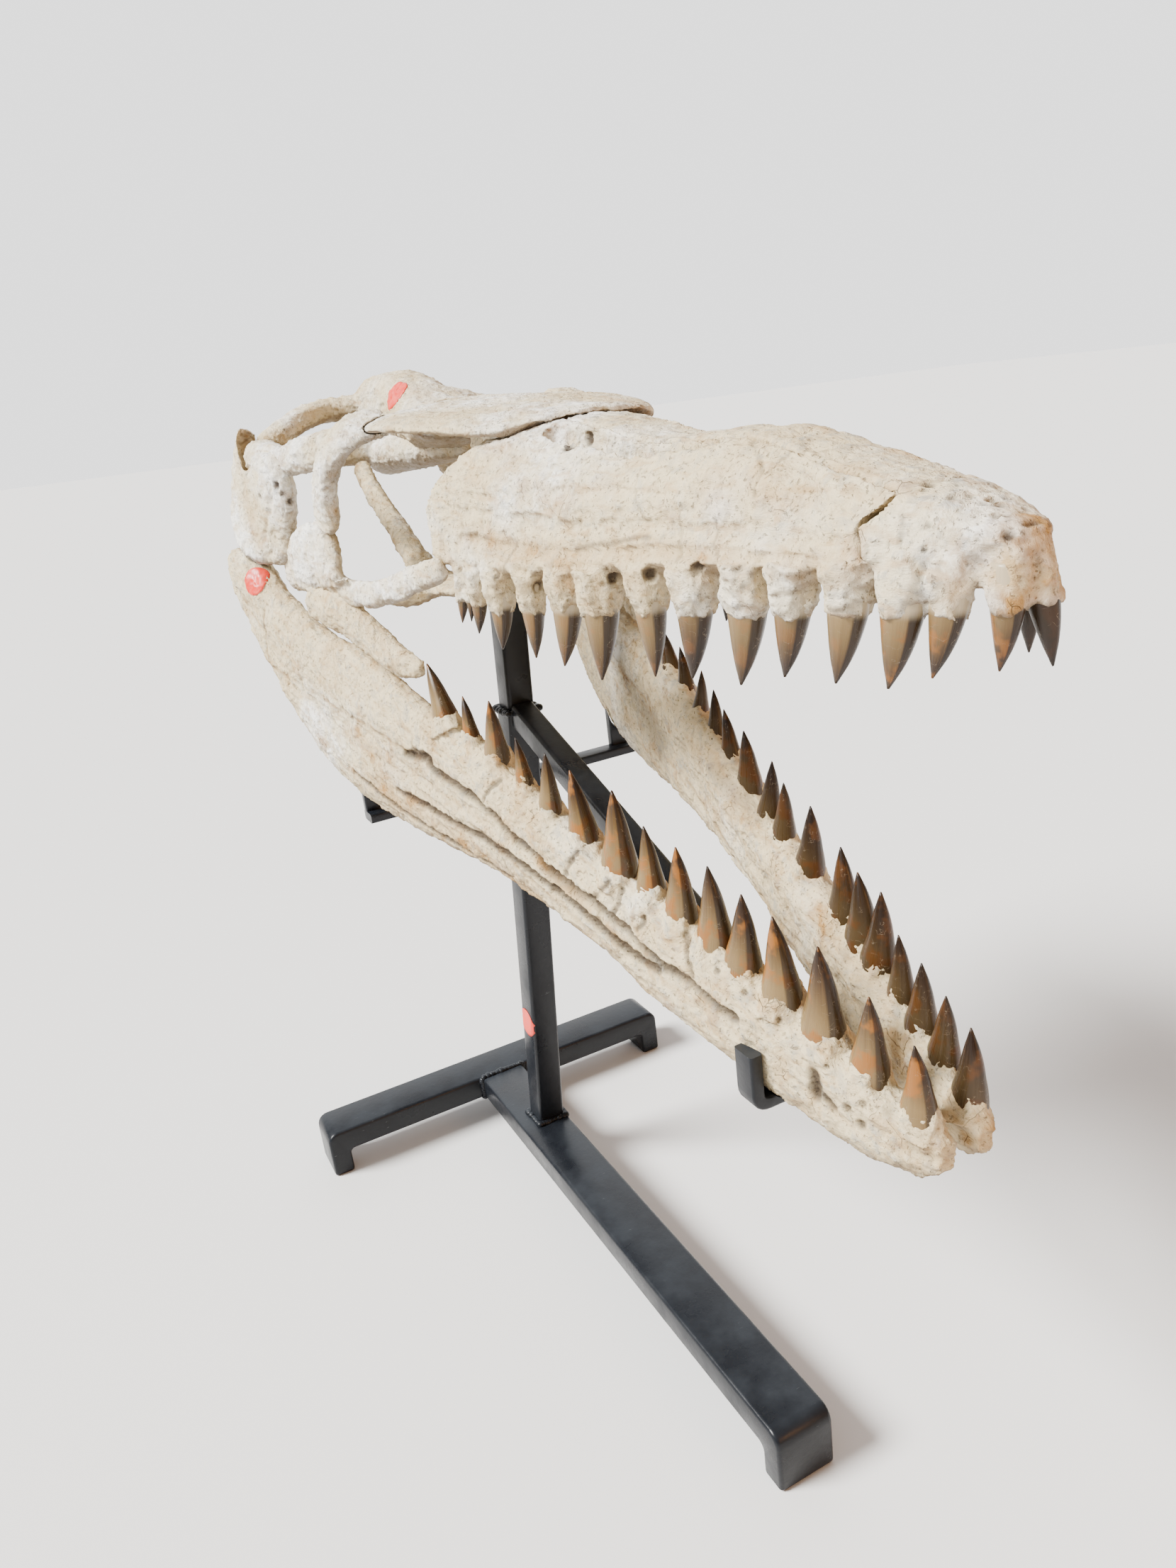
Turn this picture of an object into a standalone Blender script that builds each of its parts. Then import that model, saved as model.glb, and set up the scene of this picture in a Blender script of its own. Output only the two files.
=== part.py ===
"""Fossil mosasaur skull with its jaws open, on its own black steel stand, life size.

Every table below is in bar widths: the stand's floor bars are one bar width wide, and BAR turns
them into metres. While it is modelled +X points to the snout, +Y to the animal's left and +Z up,
the floor is z = 0 and the stand's cross bar is centred on x = 0. The last step moves everything
along X and Y so that the origin is the middle of the footprint.
"""

import math
import random

import bmesh
import bpy
import numpy as np
from mathutils import Matrix, Vector

BAR = 0.040  # width of the stand's floor bars, the unit of every table here
GAP = 0.0003 / BAR  # clear space that neighbouring bones and tubes keep

# Stand
FOOT_HEIGHT = 0.536
BAR_TOP = 1.053
CROSS_BAR_HALF_LENGTH = 4.15
LONG_BAR_FRONT = 11.74
FOOT_LENGTH = 0.44
BAR_EDGE_RADIUS = 0.07
POST_WIDTH = 0.56
POST_FOOT = (2.62, 0.15, BAR_TOP)
POST_JOINT = (3.85, 0.27, 10.42)
JOINT_GAP = 0.022  # the two posts lean differently, so their ends keep this apart
UPPER_POST_WIDTH = 0.5
UPPER_POST_TOP = (4.55, 0.2, 15.3)
ARM_FRONT = (12.90, 0.0, 7.46)
ARM_WIDTH = 0.43
STRAP_THICK = 0.17  # flat bar of the jaw's rests
REAR_REST_X = 3.48
REAR_REST_Z = 9.00
REAR_REST_WIDTH = 0.40
REAR_REST_REACH = 2.66
REAR_PRONG_LENGTH = 0.36
REAR_PRONG_TOP = 9.80
FRONT_REST_X = 12.66
FRONT_REST_Z = 7.66
FRONT_REST_WIDTH = 0.34
FRONT_PRONG_Y = 1.16
FRONT_PRONG_TOP = 8.34

# Lower jaw: each half lies in an upright plane that leaves the midline by this rule
JAW_TIP_X = 14.95
JAW_TIP_Y = 0.25
JAW_SPREAD = 0.2
# x, lower edge, upper edge, half thickness
JAW_SECTIONS = (
    (-0.50, 13.00, 13.40, 0.10),
    (-0.10, 12.50, 13.60, 0.26),
    (0.50, 11.75, 13.50, 0.34),
    (1.40, 10.60, 12.90, 0.34),
    (2.90, 9.55, 12.30, 0.32),
    (4.30, 9.20, 12.00, 0.32),
    (6.10, 9.10, 11.34, 0.32),
    (7.60, 9.00, 10.94, 0.33),
    (8.80, 8.80, 10.42, 0.34),
    (9.90, 8.55, 9.97, 0.34),
    (11.00, 8.15, 9.63, 0.34),
    (12.10, 7.85, 9.26, 0.33),
    (13.20, 7.60, 8.88, 0.31),
    (14.00, 7.50, 8.55, 0.28),
    (14.60, 7.55, 8.32, 0.22),
    (14.95, 7.75, 8.10, 0.12),
)
# sutures that part a jaw half into its bones, each from x, z to x, z, the later ones ending on the first
JAW_SUTURES = (
    ((5.500, 12.60), (6.450, 8.60)),
    ((6.058, 10.25), (13.90, 7.40)),
    ((5.975, 10.60), (0.997, 11.50)),
    ((1.600, 13.70), (0.750, 10.60)),
)
# each bone of a jaw half, found by a place inside it, as x and z
JAW_BONES = {
    "dentary": (10.5, 9.5),
    "splenial": (9.5, 8.8),
    "surangular": (3.5, 11.8),
    "angular": (3.5, 10.2),
    "articular": (0.5, 12.6),
}

# Snout and face: x, top, widest height, underside, half width
FACE_SECTIONS = (
    (6.20, 15.45, 13.95, 13.60, 2.00),
    (7.20, 15.48, 13.90, 13.42, 1.82),
    (8.40, 15.36, 13.90, 13.36, 1.58),
    (9.60, 15.20, 13.95, 13.44, 1.37),
    (10.80, 15.03, 14.00, 13.54, 1.18),
    (12.40, 15.07, 14.10, 13.68, 1.01),
    (13.40, 14.88, 14.15, 13.78, 0.91),
    (14.30, 14.67, 14.15, 13.84, 0.76),
    (15.00, 14.51, 14.14, 13.88, 0.57),
    (15.42, 14.35, 14.13, 13.91, 0.38),
    (15.64, 14.24, 14.12, 13.96, 0.23),
    (15.74, 14.17, 14.11, 14.04, 0.08),
)
FACE_TOP_POWER = 2.35
FACE_UNDER_POWER = 5.0
PREMAXILLA_REAR = 14.455
SNOUT_BAR_HALF_WIDTH = 0.40
SNOUT_BAR_FLOOR = 14.30
NOSTRIL_SLIT = (
    (8.95, 0.64, 15.30, 0.10, 0.34),
    (9.70, 0.64, 15.10, 0.15, 0.50),
    (10.90, 0.58, 15.00, 0.13, 0.42),
    (12.20, 0.50, 15.06, 0.05, 0.22),
)
# front rim of the eye socket, as x and z from the cheek up to the roof
EYE_SOCKET_FRONT = (
    (6.98, 13.20),
    (6.81, 13.80),
    (6.73, 14.30),
    (6.93, 14.70),
    (7.46, 15.09),
    (8.00, 15.45),
)
# Frontal roof plate: x, top, half width, thickness, fall from the midline to the rim
FRONTAL_SECTIONS = (
    (3.60, 15.68, 1.30, 0.22, 0.10),
    (4.20, 15.72, 1.80, 0.28, 0.12),
    (5.00, 15.70, 1.95, 0.30, 0.12),
    (6.00, 15.65, 1.88, 0.30, 0.11),
    (7.00, 15.58, 1.62, 0.32, 0.10),
    (8.00, 15.48, 1.22, 0.34, 0.08),
    (9.05, 15.34, 0.62, 0.34, 0.05),
)

# Swept bones: x, distance from the midline, z, half size across the run, half size deep
PARIETAL_ROOF = (
    (4.20, 0.0, 15.40, 0.95, 0.30),
    (3.30, 0.0, 15.36, 0.78, 0.42),
    (2.20, 0.0, 15.56, 0.62, 0.55),
    (1.20, 0.0, 15.72, 0.60, 0.62),
    (0.30, 0.0, 15.74, 0.68, 0.60),
    (-0.30, 0.0, 15.58, 0.60, 0.42),
)
PARIETAL_WING = (
    (0.20, 0.20, 15.80, 0.38, 0.24),
    (-0.15, 1.20, 15.80, 0.36, 0.23),
    (0.05, 2.00, 15.56, 0.34, 0.22),
    (0.35, 2.45, 15.34, 0.30, 0.20),
)
BRAINCASE_BODY = (
    (3.40, 0.0, 15.00, 0.40, 0.25),
    (2.20, 0.0, 14.98, 0.55, 0.34),
    (1.00, 0.0, 14.94, 0.65, 0.38),
    (0.20, 0.0, 14.88, 0.60, 0.38),
    (-0.30, 0.0, 14.80, 0.36, 0.31),
    (-0.62, 0.0, 14.76, 0.27, 0.26),
)
PAROCCIPITAL = (
    (0.35, 0.20, 14.98, 0.25, 0.26),
    (0.10, 1.30, 15.02, 0.19, 0.27),
    (0.18, 2.30, 15.02, 0.22, 0.28),
)
POSTORBITAL_BAR = (
    (4.55, 1.50, 15.52, 0.50, 0.17),
    (4.35, 2.00, 15.42, 0.55, 0.20),
    (4.00, 2.34, 15.02, 0.48, 0.22),
    (3.80, 2.44, 14.50, 0.44, 0.20),
    (3.72, 2.47, 13.95, 0.46, 0.17),
)
POSTORBITAL_ARCH = (
    (4.10, 2.15, 15.28, 0.24, 0.26),
    (3.10, 2.46, 15.14, 0.22, 0.30),
    (2.30, 2.58, 15.06, 0.20, 0.26),
)
SQUAMOSAL_ARCH = (
    (2.29, 2.58, 15.06, 0.21, 0.27),
    (1.60, 2.66, 15.08, 0.26, 0.32),
    (0.95, 2.68, 15.12, 0.34, 0.34),
    (0.50, 2.64, 15.08, 0.28, 0.28),
)
QUADRATE_PLATE = (
    (1.15, 2.66, 15.12, 0.75, 0.26),
    (1.20, 2.72, 14.86, 1.25, 0.32),
    (0.95, 2.78, 14.54, 1.48, 0.32),
    (0.55, 2.90, 14.12, 1.26, 0.32),
    (0.32, 3.02, 13.82, 0.90, 0.32),
    (0.16, 3.12, 13.60, 0.45, 0.26),
)
JUGAL_PLATE = (
    (3.72, 2.47, 13.96, 0.46, 0.17),
    (3.55, 2.52, 13.68, 0.62, 0.17),
    (3.42, 2.54, 13.30, 0.94, 0.17),
    (3.44, 2.53, 12.97, 0.62, 0.13),
)
JUGAL_REAR_LOBE = (
    (3.31, 2.55, 13.64, 0.145, 0.51),
    (2.65, 2.65, 13.46, 0.15, 0.56),
    (1.95, 2.72, 13.26, 0.13, 0.42),
    (1.50, 2.76, 13.10, 0.09, 0.22),
)
JUGAL_BAR = (
    (3.55, 2.51, 13.03, 0.14, 0.25),
    (4.60, 2.32, 13.00, 0.14, 0.22),
    (5.60, 2.14, 13.14, 0.13, 0.21),
    (6.50, 1.98, 13.38, 0.13, 0.21),
    (7.12, 1.86, 13.52, 0.12, 0.17),
)
PTERYGOID_PLATE = (
    (9.20, 0.80, 13.42, 0.26, 0.13),
    (7.50, 0.95, 13.22, 0.38, 0.14),
    (6.00, 1.05, 13.02, 0.45, 0.15),
    (4.60, 1.08, 12.95, 0.42, 0.16),
    (3.60, 0.98, 13.14, 0.26, 0.19),
    (2.10, 0.88, 13.80, 0.18, 0.22),
    (1.00, 0.86, 14.38, 0.17, 0.24),
    (0.45, 0.80, 14.74, 0.17, 0.20),
)
ECTOPTERYGOID = (
    (5.00, 1.20, 12.96, 0.30, 0.13),
    (5.20, 1.75, 12.92, 0.26, 0.14),
    (5.25, 2.15, 12.98, 0.24, 0.15),
)
CORONOID = (
    (2.60, 2.72, 12.72, 0.14, 0.24),
    (3.60, 2.52, 12.66, 0.18, 0.40),
    (4.60, 2.32, 12.30, 0.18, 0.34),
    (5.50, 2.14, 12.00, 0.15, 0.26),
    (6.05, 2.03, 11.96, 0.09, 0.14),
)

# Teeth, rear to front: place along the jaw, crown length and lean towards the snout
UPPER_TEETH_RIGHT = (
    (7.23, 0.46, -0.28), (7.42, 0.38, -0.10), (7.62, 0.55, -0.19), (8.14, 0.68, -0.09),
    (8.85, 0.72, -0.05), (9.62, 0.82, -0.12), (10.29, 0.92, 0.04), (11.22, 0.84, 0.06),
    (12.02, 0.82, -0.02), (12.86, 0.86, -0.05), (13.50, 0.78, -0.17), (14.16, 0.77, -0.12),
)
UPPER_TEETH_LEFT = (
    (7.20, 0.42, -0.15), (7.62, 0.47, -0.15), (8.10, 0.55, -0.10), (8.70, 0.62, -0.05),
    (9.46, 0.72, -0.08), (10.20, 0.80, -0.05), (11.22, 0.72, -0.05), (12.15, 0.64, -0.10),
    (13.04, 0.42, -0.10), (13.72, 0.44, -0.05), (14.18, 0.42, -0.05),
)
FRONT_TEETH_RIGHT = ((14.71, 0.79, -0.10), (15.11, 0.67, -0.10), (15.53, 0.62, -0.02))
FRONT_TEETH_LEFT = ((14.84, 0.42, -0.05), (15.30, 0.54, 0.15), (15.64, 0.62, 0.28))
LOWER_TEETH_RIGHT = (
    (6.44, 0.73, -0.36), (7.10, 0.45, -0.18), (7.73, 0.67, 0.15), (8.31, 0.47, -0.12), (8.87, 0.60, 0.08),
    (9.52, 0.75, -0.08), (10.21, 0.86, 0.09), (10.78, 0.68, 0.01), (11.29, 0.71, 0.10), (11.84, 0.82, 0.14),
    (12.28, 0.74, 0.17), (12.83, 0.79, 0.03), (13.41, 0.87, 0.14), (14.01, 0.76, 0.14), (14.60, 0.63, 0.09),
)
LOWER_TEETH_LEFT = (
    (6.60, 0.56, -0.20), (7.25, 0.50, -0.10), (7.87, 0.46, 0.20), (8.40, 0.50, 0.00), (8.88, 0.53, -0.09),
    (9.50, 0.63, 0.00), (10.15, 0.63, 0.20), (10.57, 0.58, 0.17), (11.29, 0.71, 0.18), (12.13, 0.72, 0.03),
    (12.56, 0.71, 0.05), (12.93, 0.76, 0.17), (13.39, 0.59, 0.05), (13.80, 0.62, 0.08), (14.22, 0.63, 0.14),
    (14.68, 0.66, 0.10),
)
TOOTH_WIDTH = 0.54  # of its length
TOOTH_FLATTENING = 0.80
TOOTH_ROOT = 0.48
TOOTH_SIDES = 6
UPPER_SOCKET = 0.26
LOWER_SOCKET = 0.14

SIDES = {"right": -1, "left": 1}
BONE_COLOUR = (0.74, 0.68, 0.57, 1.0)
STEEL_COLOUR = (0.012, 0.014, 0.018, 1.0)


def clear_scene():
    for thing in list(bpy.data.objects):
        bpy.data.objects.remove(thing, do_unlink=True)


def finish_material(name, colour, roughness, metallic):
    material = bpy.data.materials.new(name)
    material.use_nodes = True
    shader = material.node_tree.nodes["Principled BSDF"]
    shader.inputs["Base Color"].default_value = colour
    shader.inputs["Roughness"].default_value = roughness
    shader.inputs["Metallic"].default_value = metallic
    return material


def eased(at, stations, values):
    """A smooth curve through the stations that never swings past them."""
    stations = np.asarray(stations, float)
    values = np.asarray(values, float)
    step = np.diff(stations)
    slope = np.diff(values) / step
    before, after = slope[:-1], slope[1:]
    same_way = before * after > 0
    total = np.where(same_way, before + after, 1.0)
    tangent = np.concatenate([slope[:1], np.where(same_way, 2 * before * after / total, 0.0), slope[-1:]])
    i = np.clip(np.searchsorted(stations, at, side="right") - 1, 0, len(step) - 1)
    s = (at - stations[i]) / step[i]
    return (
        (2 * s**3 - 3 * s**2 + 1) * values[i]
        + (s**3 - 2 * s**2 + s) * step[i] * tangent[i]
        + (3 * s**2 - 2 * s**3) * values[i + 1]
        + (s**3 - s**2) * step[i] * tangent[i + 1]
    )


def table_at(x, table):
    """Each column of a table of sections, read at x."""
    rows = np.array(table)
    return [eased(x, rows[:, 0], rows[:, k]) for k in range(1, rows.shape[1])]


def link(name, mesh):
    thing = bpy.data.objects.new(name, mesh)
    bpy.context.scene.collection.objects.link(thing)
    return thing


def mesh_from_bmesh(name, shape):
    bmesh.ops.recalc_face_normals(shape, faces=shape.faces)
    mesh = bpy.data.meshes.new(name)
    shape.to_mesh(mesh)
    shape.free()
    return mesh


def solid_from_rings(name, rings):
    """A closed body of triangles through rings of points, in bar widths, with a fan at each end."""
    shape = bmesh.new()
    loops = [[shape.verts.new(Vector(point) * BAR) for point in ring] for ring in rings]
    count = len(loops[0])
    for one, two in zip(loops, loops[1:]):
        for k in range(count):
            j = (k + 1) % count
            shape.faces.new((one[k], one[j], two[j]))
            shape.faces.new((one[k], two[j], two[k]))
    for loop in (loops[0], loops[-1]):
        middle = sum((vert.co for vert in loop), Vector()) / count
        pole = shape.verts.new(middle)
        for k in range(count):
            shape.faces.new((loop[k], loop[(k + 1) % count], pole))
    return link(name, mesh_from_bmesh(name, shape))


def rounded(angle, power):
    """Point on a unit squared circle."""
    c, s = math.cos(angle), math.sin(angle)
    return math.copysign(abs(c) ** (2 / power), c), math.copysign(abs(s) ** (2 / power), s)


def sweep(name, stations, side=1, sides=10, steps=9, power=2.3, up=(0, 0, 1), grow=0.0):
    """A bone along a smooth path; each station is x, y, z, half size across and half size deep."""
    rows = np.array(stations, float)
    run = np.concatenate([[0.0], np.cumsum(np.linalg.norm(np.diff(rows[:, :3], axis=0), axis=1))])
    at = np.linspace(0.0, run[-1], steps)
    read = np.stack([eased(at, run, rows[:, k]) for k in range(5)], axis=1)
    centre = read[:, :3]
    along = np.gradient(centre, axis=0)
    along /= np.linalg.norm(along, axis=1)[:, None]
    centre[0] -= along[0] * grow
    centre[-1] += along[-1] * grow
    across = np.cross(along, np.array(up, float))
    across /= np.linalg.norm(across, axis=1)[:, None]
    deep = np.cross(across, along)
    rings = []
    for k in range(steps):
        ring = []
        for n in range(sides):
            a, b = rounded(2 * math.pi * (n + 0.5) / sides, power)
            point = centre[k] + across[k] * a * (read[k, 3] + grow) + deep[k] * b * (read[k, 4] + grow)
            ring.append((point[0], point[1] * side, point[2]))
        rings.append(ring)
    return solid_from_rings(name, rings)


def box(name, low, high, bevel=0.0):
    shape = bmesh.new()
    bmesh.ops.create_cube(shape, size=1.0)
    for vert in shape.verts:
        for axis in range(3):
            middle = (low[axis] + high[axis]) / 2
            vert.co[axis] = (middle + vert.co[axis] * (high[axis] - low[axis])) * BAR
    if bevel:
        bmesh.ops.bevel(
            shape, geom=shape.edges[:], offset=bevel * BAR, segments=1, profile=0.5, affect="EDGES"
        )
    return link(name, mesh_from_bmesh(name, shape))


def prism(name, outline, y_low, y_high):
    """An upright outline of x and z, extruded along y."""
    shape = bmesh.new()
    near = [shape.verts.new((x * BAR, y_low * BAR, z * BAR)) for x, z in outline]
    far = [shape.verts.new((x * BAR, y_high * BAR, z * BAR)) for x, z in outline]
    shape.faces.new(near)
    shape.faces.new(far)
    for k in range(len(outline)):
        j = (k + 1) % len(outline)
        shape.faces.new((near[k], near[j], far[j], far[k]))
    return link(name, mesh_from_bmesh(name, shape))


def suture(start, end, y_low, y_high):
    """A thin upright sheet from start to end, each x and z, that parts two bones."""
    run = Vector((end[0] - start[0], end[1] - start[1])).normalized()
    half = Vector((-run.y, run.x)) * GAP / 2
    start, end = Vector(start), Vector(end)
    return prism("suture", (start + half, end + half, end - half, start - half), y_low, y_high)


def evaluated_mesh(thing):
    graph = bpy.context.evaluated_depsgraph_get()
    return bpy.data.meshes.new_from_object(thing.evaluated_get(graph), depsgraph=graph)


def keep_largest(mesh):
    """Drop every closed surface but the largest."""
    shape = bmesh.new()
    shape.from_mesh(mesh)
    groups = loose_groups(shape)
    largest = max(groups, key=lambda group: abs(signed_volume(group)))
    spare = {vert for group in groups if group is not largest for face in group for vert in face.verts}
    bmesh.ops.delete(shape, geom=list(spare), context="VERTS")
    shape.to_mesh(mesh)
    shape.free()


def loose_groups(shape):
    seen = set()
    groups = []
    for face in shape.faces:
        if face in seen:
            continue
        group = []
        waiting = [face]
        seen.add(face)
        while waiting:
            current = waiting.pop()
            group.append(current)
            for edge in current.edges:
                for other in edge.link_faces:
                    if other not in seen:
                        seen.add(other)
                        waiting.append(other)
        groups.append(group)
    return groups


def signed_volume(faces):
    total = 0.0
    for face in faces:
        first = face.verts[0].co
        for one, two in zip(face.verts[1:-1], face.verts[2:]):
            total += first.dot(one.co.cross(two.co)) / 6
    return total


def combine(thing, others, operation, solver="EXACT"):
    """Join others to thing, or cut them from it, in one Boolean, and remove them."""
    group = bpy.data.collections.new("operands")
    bpy.context.scene.collection.children.link(group)
    for other in others:
        bpy.context.scene.collection.objects.unlink(other)
        group.objects.link(other)
    modifier = thing.modifiers.new("combine", "BOOLEAN")
    modifier.operation = operation
    modifier.operand_type = "COLLECTION"
    modifier.collection = group
    modifier.solver = solver
    mesh = evaluated_mesh(thing)
    thing.modifiers.clear()
    thing.data = mesh
    for other in list(group.objects):
        bpy.data.objects.remove(other, do_unlink=True)
    bpy.data.collections.remove(group)
    return thing


def join(thing, *others, solver="EXACT"):
    combine(thing, others, "UNION", solver)
    keep_largest(thing.data)
    return thing


def cut(thing, *cutters, solver="EXACT"):
    """Cut one cutter after another, because cutters may cross, and keep the largest piece."""
    for cutter in cutters:
        combine(thing, [cutter], "DIFFERENCE", solver)
    keep_largest(thing.data)
    return thing


def part_into(thing, sheets, probes):
    """Cut thing with thin sheets and name each piece by the probe point that lies nearest."""
    for sheet in sheets:
        combine(thing, [sheet], "DIFFERENCE")
    shape = bmesh.new()
    shape.from_mesh(thing.data)
    pieces = []
    for group in loose_groups(shape):
        corners = list({vert for face in group for vert in face.verts})
        middle = sum((vert.co for vert in corners), Vector()) / len(corners)
        pieces.append((middle / BAR, group))
    found = {}
    for name, probe in probes.items():
        middle, group = min(pieces, key=lambda piece: (piece[0] - Vector(probe)).length)
        pieces.remove((middle, group))
        copy = bmesh.new()
        copied = {}
        for face in group:
            for vert in face.verts:
                if vert not in copied:
                    copied[vert] = copy.verts.new(vert.co)
            copy.faces.new([copied[vert] for vert in face.verts])
        mesh = bpy.data.meshes.new(name)
        copy.to_mesh(mesh)
        copy.free()
        found[name] = link(name, mesh)
    shape.free()
    bpy.data.objects.remove(thing, do_unlink=True)
    return found


def tooth(place, axis, length, out, draw):
    """A curved, pointed crown on a stout root. Axis points from the root to the tip."""
    axis = Vector(axis).normalized()
    front = Vector((1, 0, 0)) - axis * axis.x
    front.normalize()
    outward = axis.cross(front).normalized()
    if outward.y * out < 0:
        outward.negate()
    width = length * TOOTH_WIDTH / 2 * draw.uniform(0.94, 1.06)
    profile = (
        (-TOOTH_ROOT, 0.80),
        (0.0, 1.10),
        (0.30 * length, 0.92),
        (0.68 * length, 0.56),
    )
    bend = draw.uniform(0.08, 0.13) * length
    rings = []
    for height, share in profile:
        back = -bend * (max(height, 0.0) / length) ** 2
        centre = Vector(place) + axis * height + front * back
        ring = []
        for k in range(TOOTH_SIDES):
            angle = 2 * math.pi * k / TOOTH_SIDES
            reach = front * math.cos(angle) + outward * math.sin(angle) * TOOTH_FLATTENING
            ring.append(centre + reach * width * share)
        rings.append(ring)
    tip = Vector(place) + axis * length - front * bend
    rings.append([tip + (point - rings[-1][0]) * 0.08 for point in rings[-1]])
    return solid_from_rings("tooth", rings)


def jaw_middle(x):
    return JAW_TIP_Y + JAW_SPREAD * (JAW_TIP_X - x)


def jaw_solid(side, grow=0.0):
    """One half of the lower jaw as a single body, before it is parted into its bones."""
    first, last = JAW_SECTIONS[0][0] - grow, JAW_SECTIONS[-1][0] + grow
    rings = []
    for x in np.linspace(first, last, 20):
        low, high, half = table_at(np.clip(x, JAW_SECTIONS[0][0], JAW_SECTIONS[-1][0]), JAW_SECTIONS)
        ring = []
        for n in range(12):
            a, b = rounded(2 * math.pi * (n + 0.5) / 12, 2.5)
            y = jaw_middle(x) + a * (half + grow)
            ring.append((x, side * y, (low + high) / 2 + b * ((high - low) / 2 + grow)))
        rings.append(ring)
    return solid_from_rings("jaw", rings)


def jaw_teeth(side, table, draw):
    made = []
    for x, length, lean in table:
        high = table_at(x, JAW_SECTIONS)[1]
        place = (x, side * jaw_middle(x), high + LOWER_SOCKET)
        axis = Vector((lean, side * draw.uniform(-0.02, 0.06), 1.0))
        made.append(tooth(place, axis, length, side, draw))
    return made


def build_lower_jaw(label, side):
    jaw = jaw_solid(side)
    cut(jaw, quadrate(label, side, GAP))
    low_y, high_y = sorted((side * 0.0, side * 4.5))
    sheets = [suture(start, end, low_y, high_y) for start, end in JAW_SUTURES]
    probes = {f"{bone}_{label}": (x, side * jaw_middle(x), z) for bone, (x, z) in JAW_BONES.items()}
    bones = part_into(jaw, sheets, probes)
    draw = random.Random(71 + side)
    teeth = jaw_teeth(side, LOWER_TEETH_RIGHT if side < 0 else LOWER_TEETH_LEFT, draw)
    join(bones[f"dentary_{label}"], *teeth)
    coronoid = sweep(f"coronoid_{label}", CORONOID, side)
    cut(coronoid, jaw_solid(side, GAP), jugal(label, side, GAP), solver="MANIFOLD")


def face_rings(grow=0.0):
    first, last = FACE_SECTIONS[0][0] - grow, FACE_SECTIONS[-1][0] + grow
    rings = []
    spread = 1 - (1 - np.linspace(0, 1, 20)) ** 1.4
    for x in first + (last - first) * spread:
        within = np.clip(x, FACE_SECTIONS[0][0], FACE_SECTIONS[-1][0])
        top, wide, under, half = table_at(within, FACE_SECTIONS)
        ring = []
        for n in range(20):
            angle = 2 * math.pi * (n + 0.5) / 20
            a, b = rounded(angle, FACE_TOP_POWER if angle < math.pi else FACE_UNDER_POWER)
            rise = top - wide if b > 0 else wide - under
            ring.append((x, a * (half + grow), wide + b * (rise + grow)))
        rings.append(ring)
    return rings


def frontal(grow=0.0):
    first, last = FRONTAL_SECTIONS[0][0] - grow, FRONTAL_SECTIONS[-1][0] + grow
    rings = []
    for x in np.linspace(first, last, 10):
        limits = FRONTAL_SECTIONS[0][0], FRONTAL_SECTIONS[-1][0]
        top, half, thick, fall = table_at(np.clip(x, *limits), FRONTAL_SECTIONS)
        ring = []
        for n in range(14):
            a, b = rounded(2 * math.pi * (n + 0.5) / 14, 2.8)
            z = top - thick / 2 + b * (thick / 2 + grow) - fall * a * a
            ring.append((x, a * (half + grow), z))
        rings.append(ring)
    return solid_from_rings("frontal", rings)


def snout_bar_region(grow=0.0):
    """The room of the premaxilla: the whole snout end and a narrow bar back to the forehead."""
    snout = box("snout_room", (PREMAXILLA_REAR - grow, -2, 13), (17, 2, 16))
    half = SNOUT_BAR_HALF_WIDTH + grow
    bar = box("bar_room", (8.0, -half, SNOUT_BAR_FLOOR - grow), (PREMAXILLA_REAR + 0.5, half, 16))
    return join(snout, bar)


def upper_teeth(side, table, draw):
    made = []
    for x, length, lean in table:
        top, wide, under, half = table_at(x, FACE_SECTIONS)
        place = (x + 0.02, side * (half - 0.15), under - UPPER_SOCKET)
        axis = Vector((lean, side * draw.uniform(-0.02, 0.08), -1.0))
        made.append(tooth(place, axis, length, side, draw))
    return made


def build_face():
    """Premaxilla, maxillae, prefrontals and frontal, from one body parted by thin cuts."""
    face = solid_from_rings("face", face_rings())
    frontal()
    for side in SIDES.values():
        low_y, high_y = sorted((side * 0.85, side * 3.0))
        behind = tuple(EYE_SOCKET_FRONT) + ((8.0, 16.5), (4.0, 16.5), (4.0, 13.2))
        cut(face, prism("socket", behind, low_y, high_y))
        cut(face, sweep("slit", NOSTRIL_SLIT, side, steps=7))
    vault = sweep(
        "vault",
        ((5.9, 0, 13.4, 1.25, 0.42), (9.0, 0, 13.38, 0.85, 0.36), (12.4, 0, 13.62, 0.48, 0.26),
         (14.2, 0, 13.80, 0.28, 0.12)),
        steps=7,
    )
    cut(face, vault)
    snout = face.copy()
    snout.data = face.data.copy()
    snout.name = "premaxilla"
    bpy.context.scene.collection.objects.link(snout)
    combine(snout, [snout_bar_region()], "INTERSECT")
    keep_largest(snout.data)
    cut(snout, frontal(GAP))
    draw = random.Random(5)
    join(snout, *upper_teeth(-1, FRONT_TEETH_RIGHT, draw), *upper_teeth(1, FRONT_TEETH_LEFT, draw))
    combine(face, [snout_bar_region(GAP)], "DIFFERENCE")
    combine(face, [frontal(GAP)], "DIFFERENCE")
    middle = box("middle", (4, -GAP / 2, 12), (17, GAP / 2, 17))
    probes = {}
    for label, side in SIDES.items():
        probes[f"maxilla_{label}"] = (10.8, side * 0.9, 14.1)
        probes[f"prefrontal_{label}"] = (7.3, side * 1.4, 14.6)
    bones = part_into(face, (middle, suture((10.6, 15.6), (6.6, 13.42), -3, 3)), probes)
    for label, side in SIDES.items():
        table = UPPER_TEETH_RIGHT if side < 0 else UPPER_TEETH_LEFT
        join(bones[f"maxilla_{label}"], *upper_teeth(side, table, random.Random(31 + side)))


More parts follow.
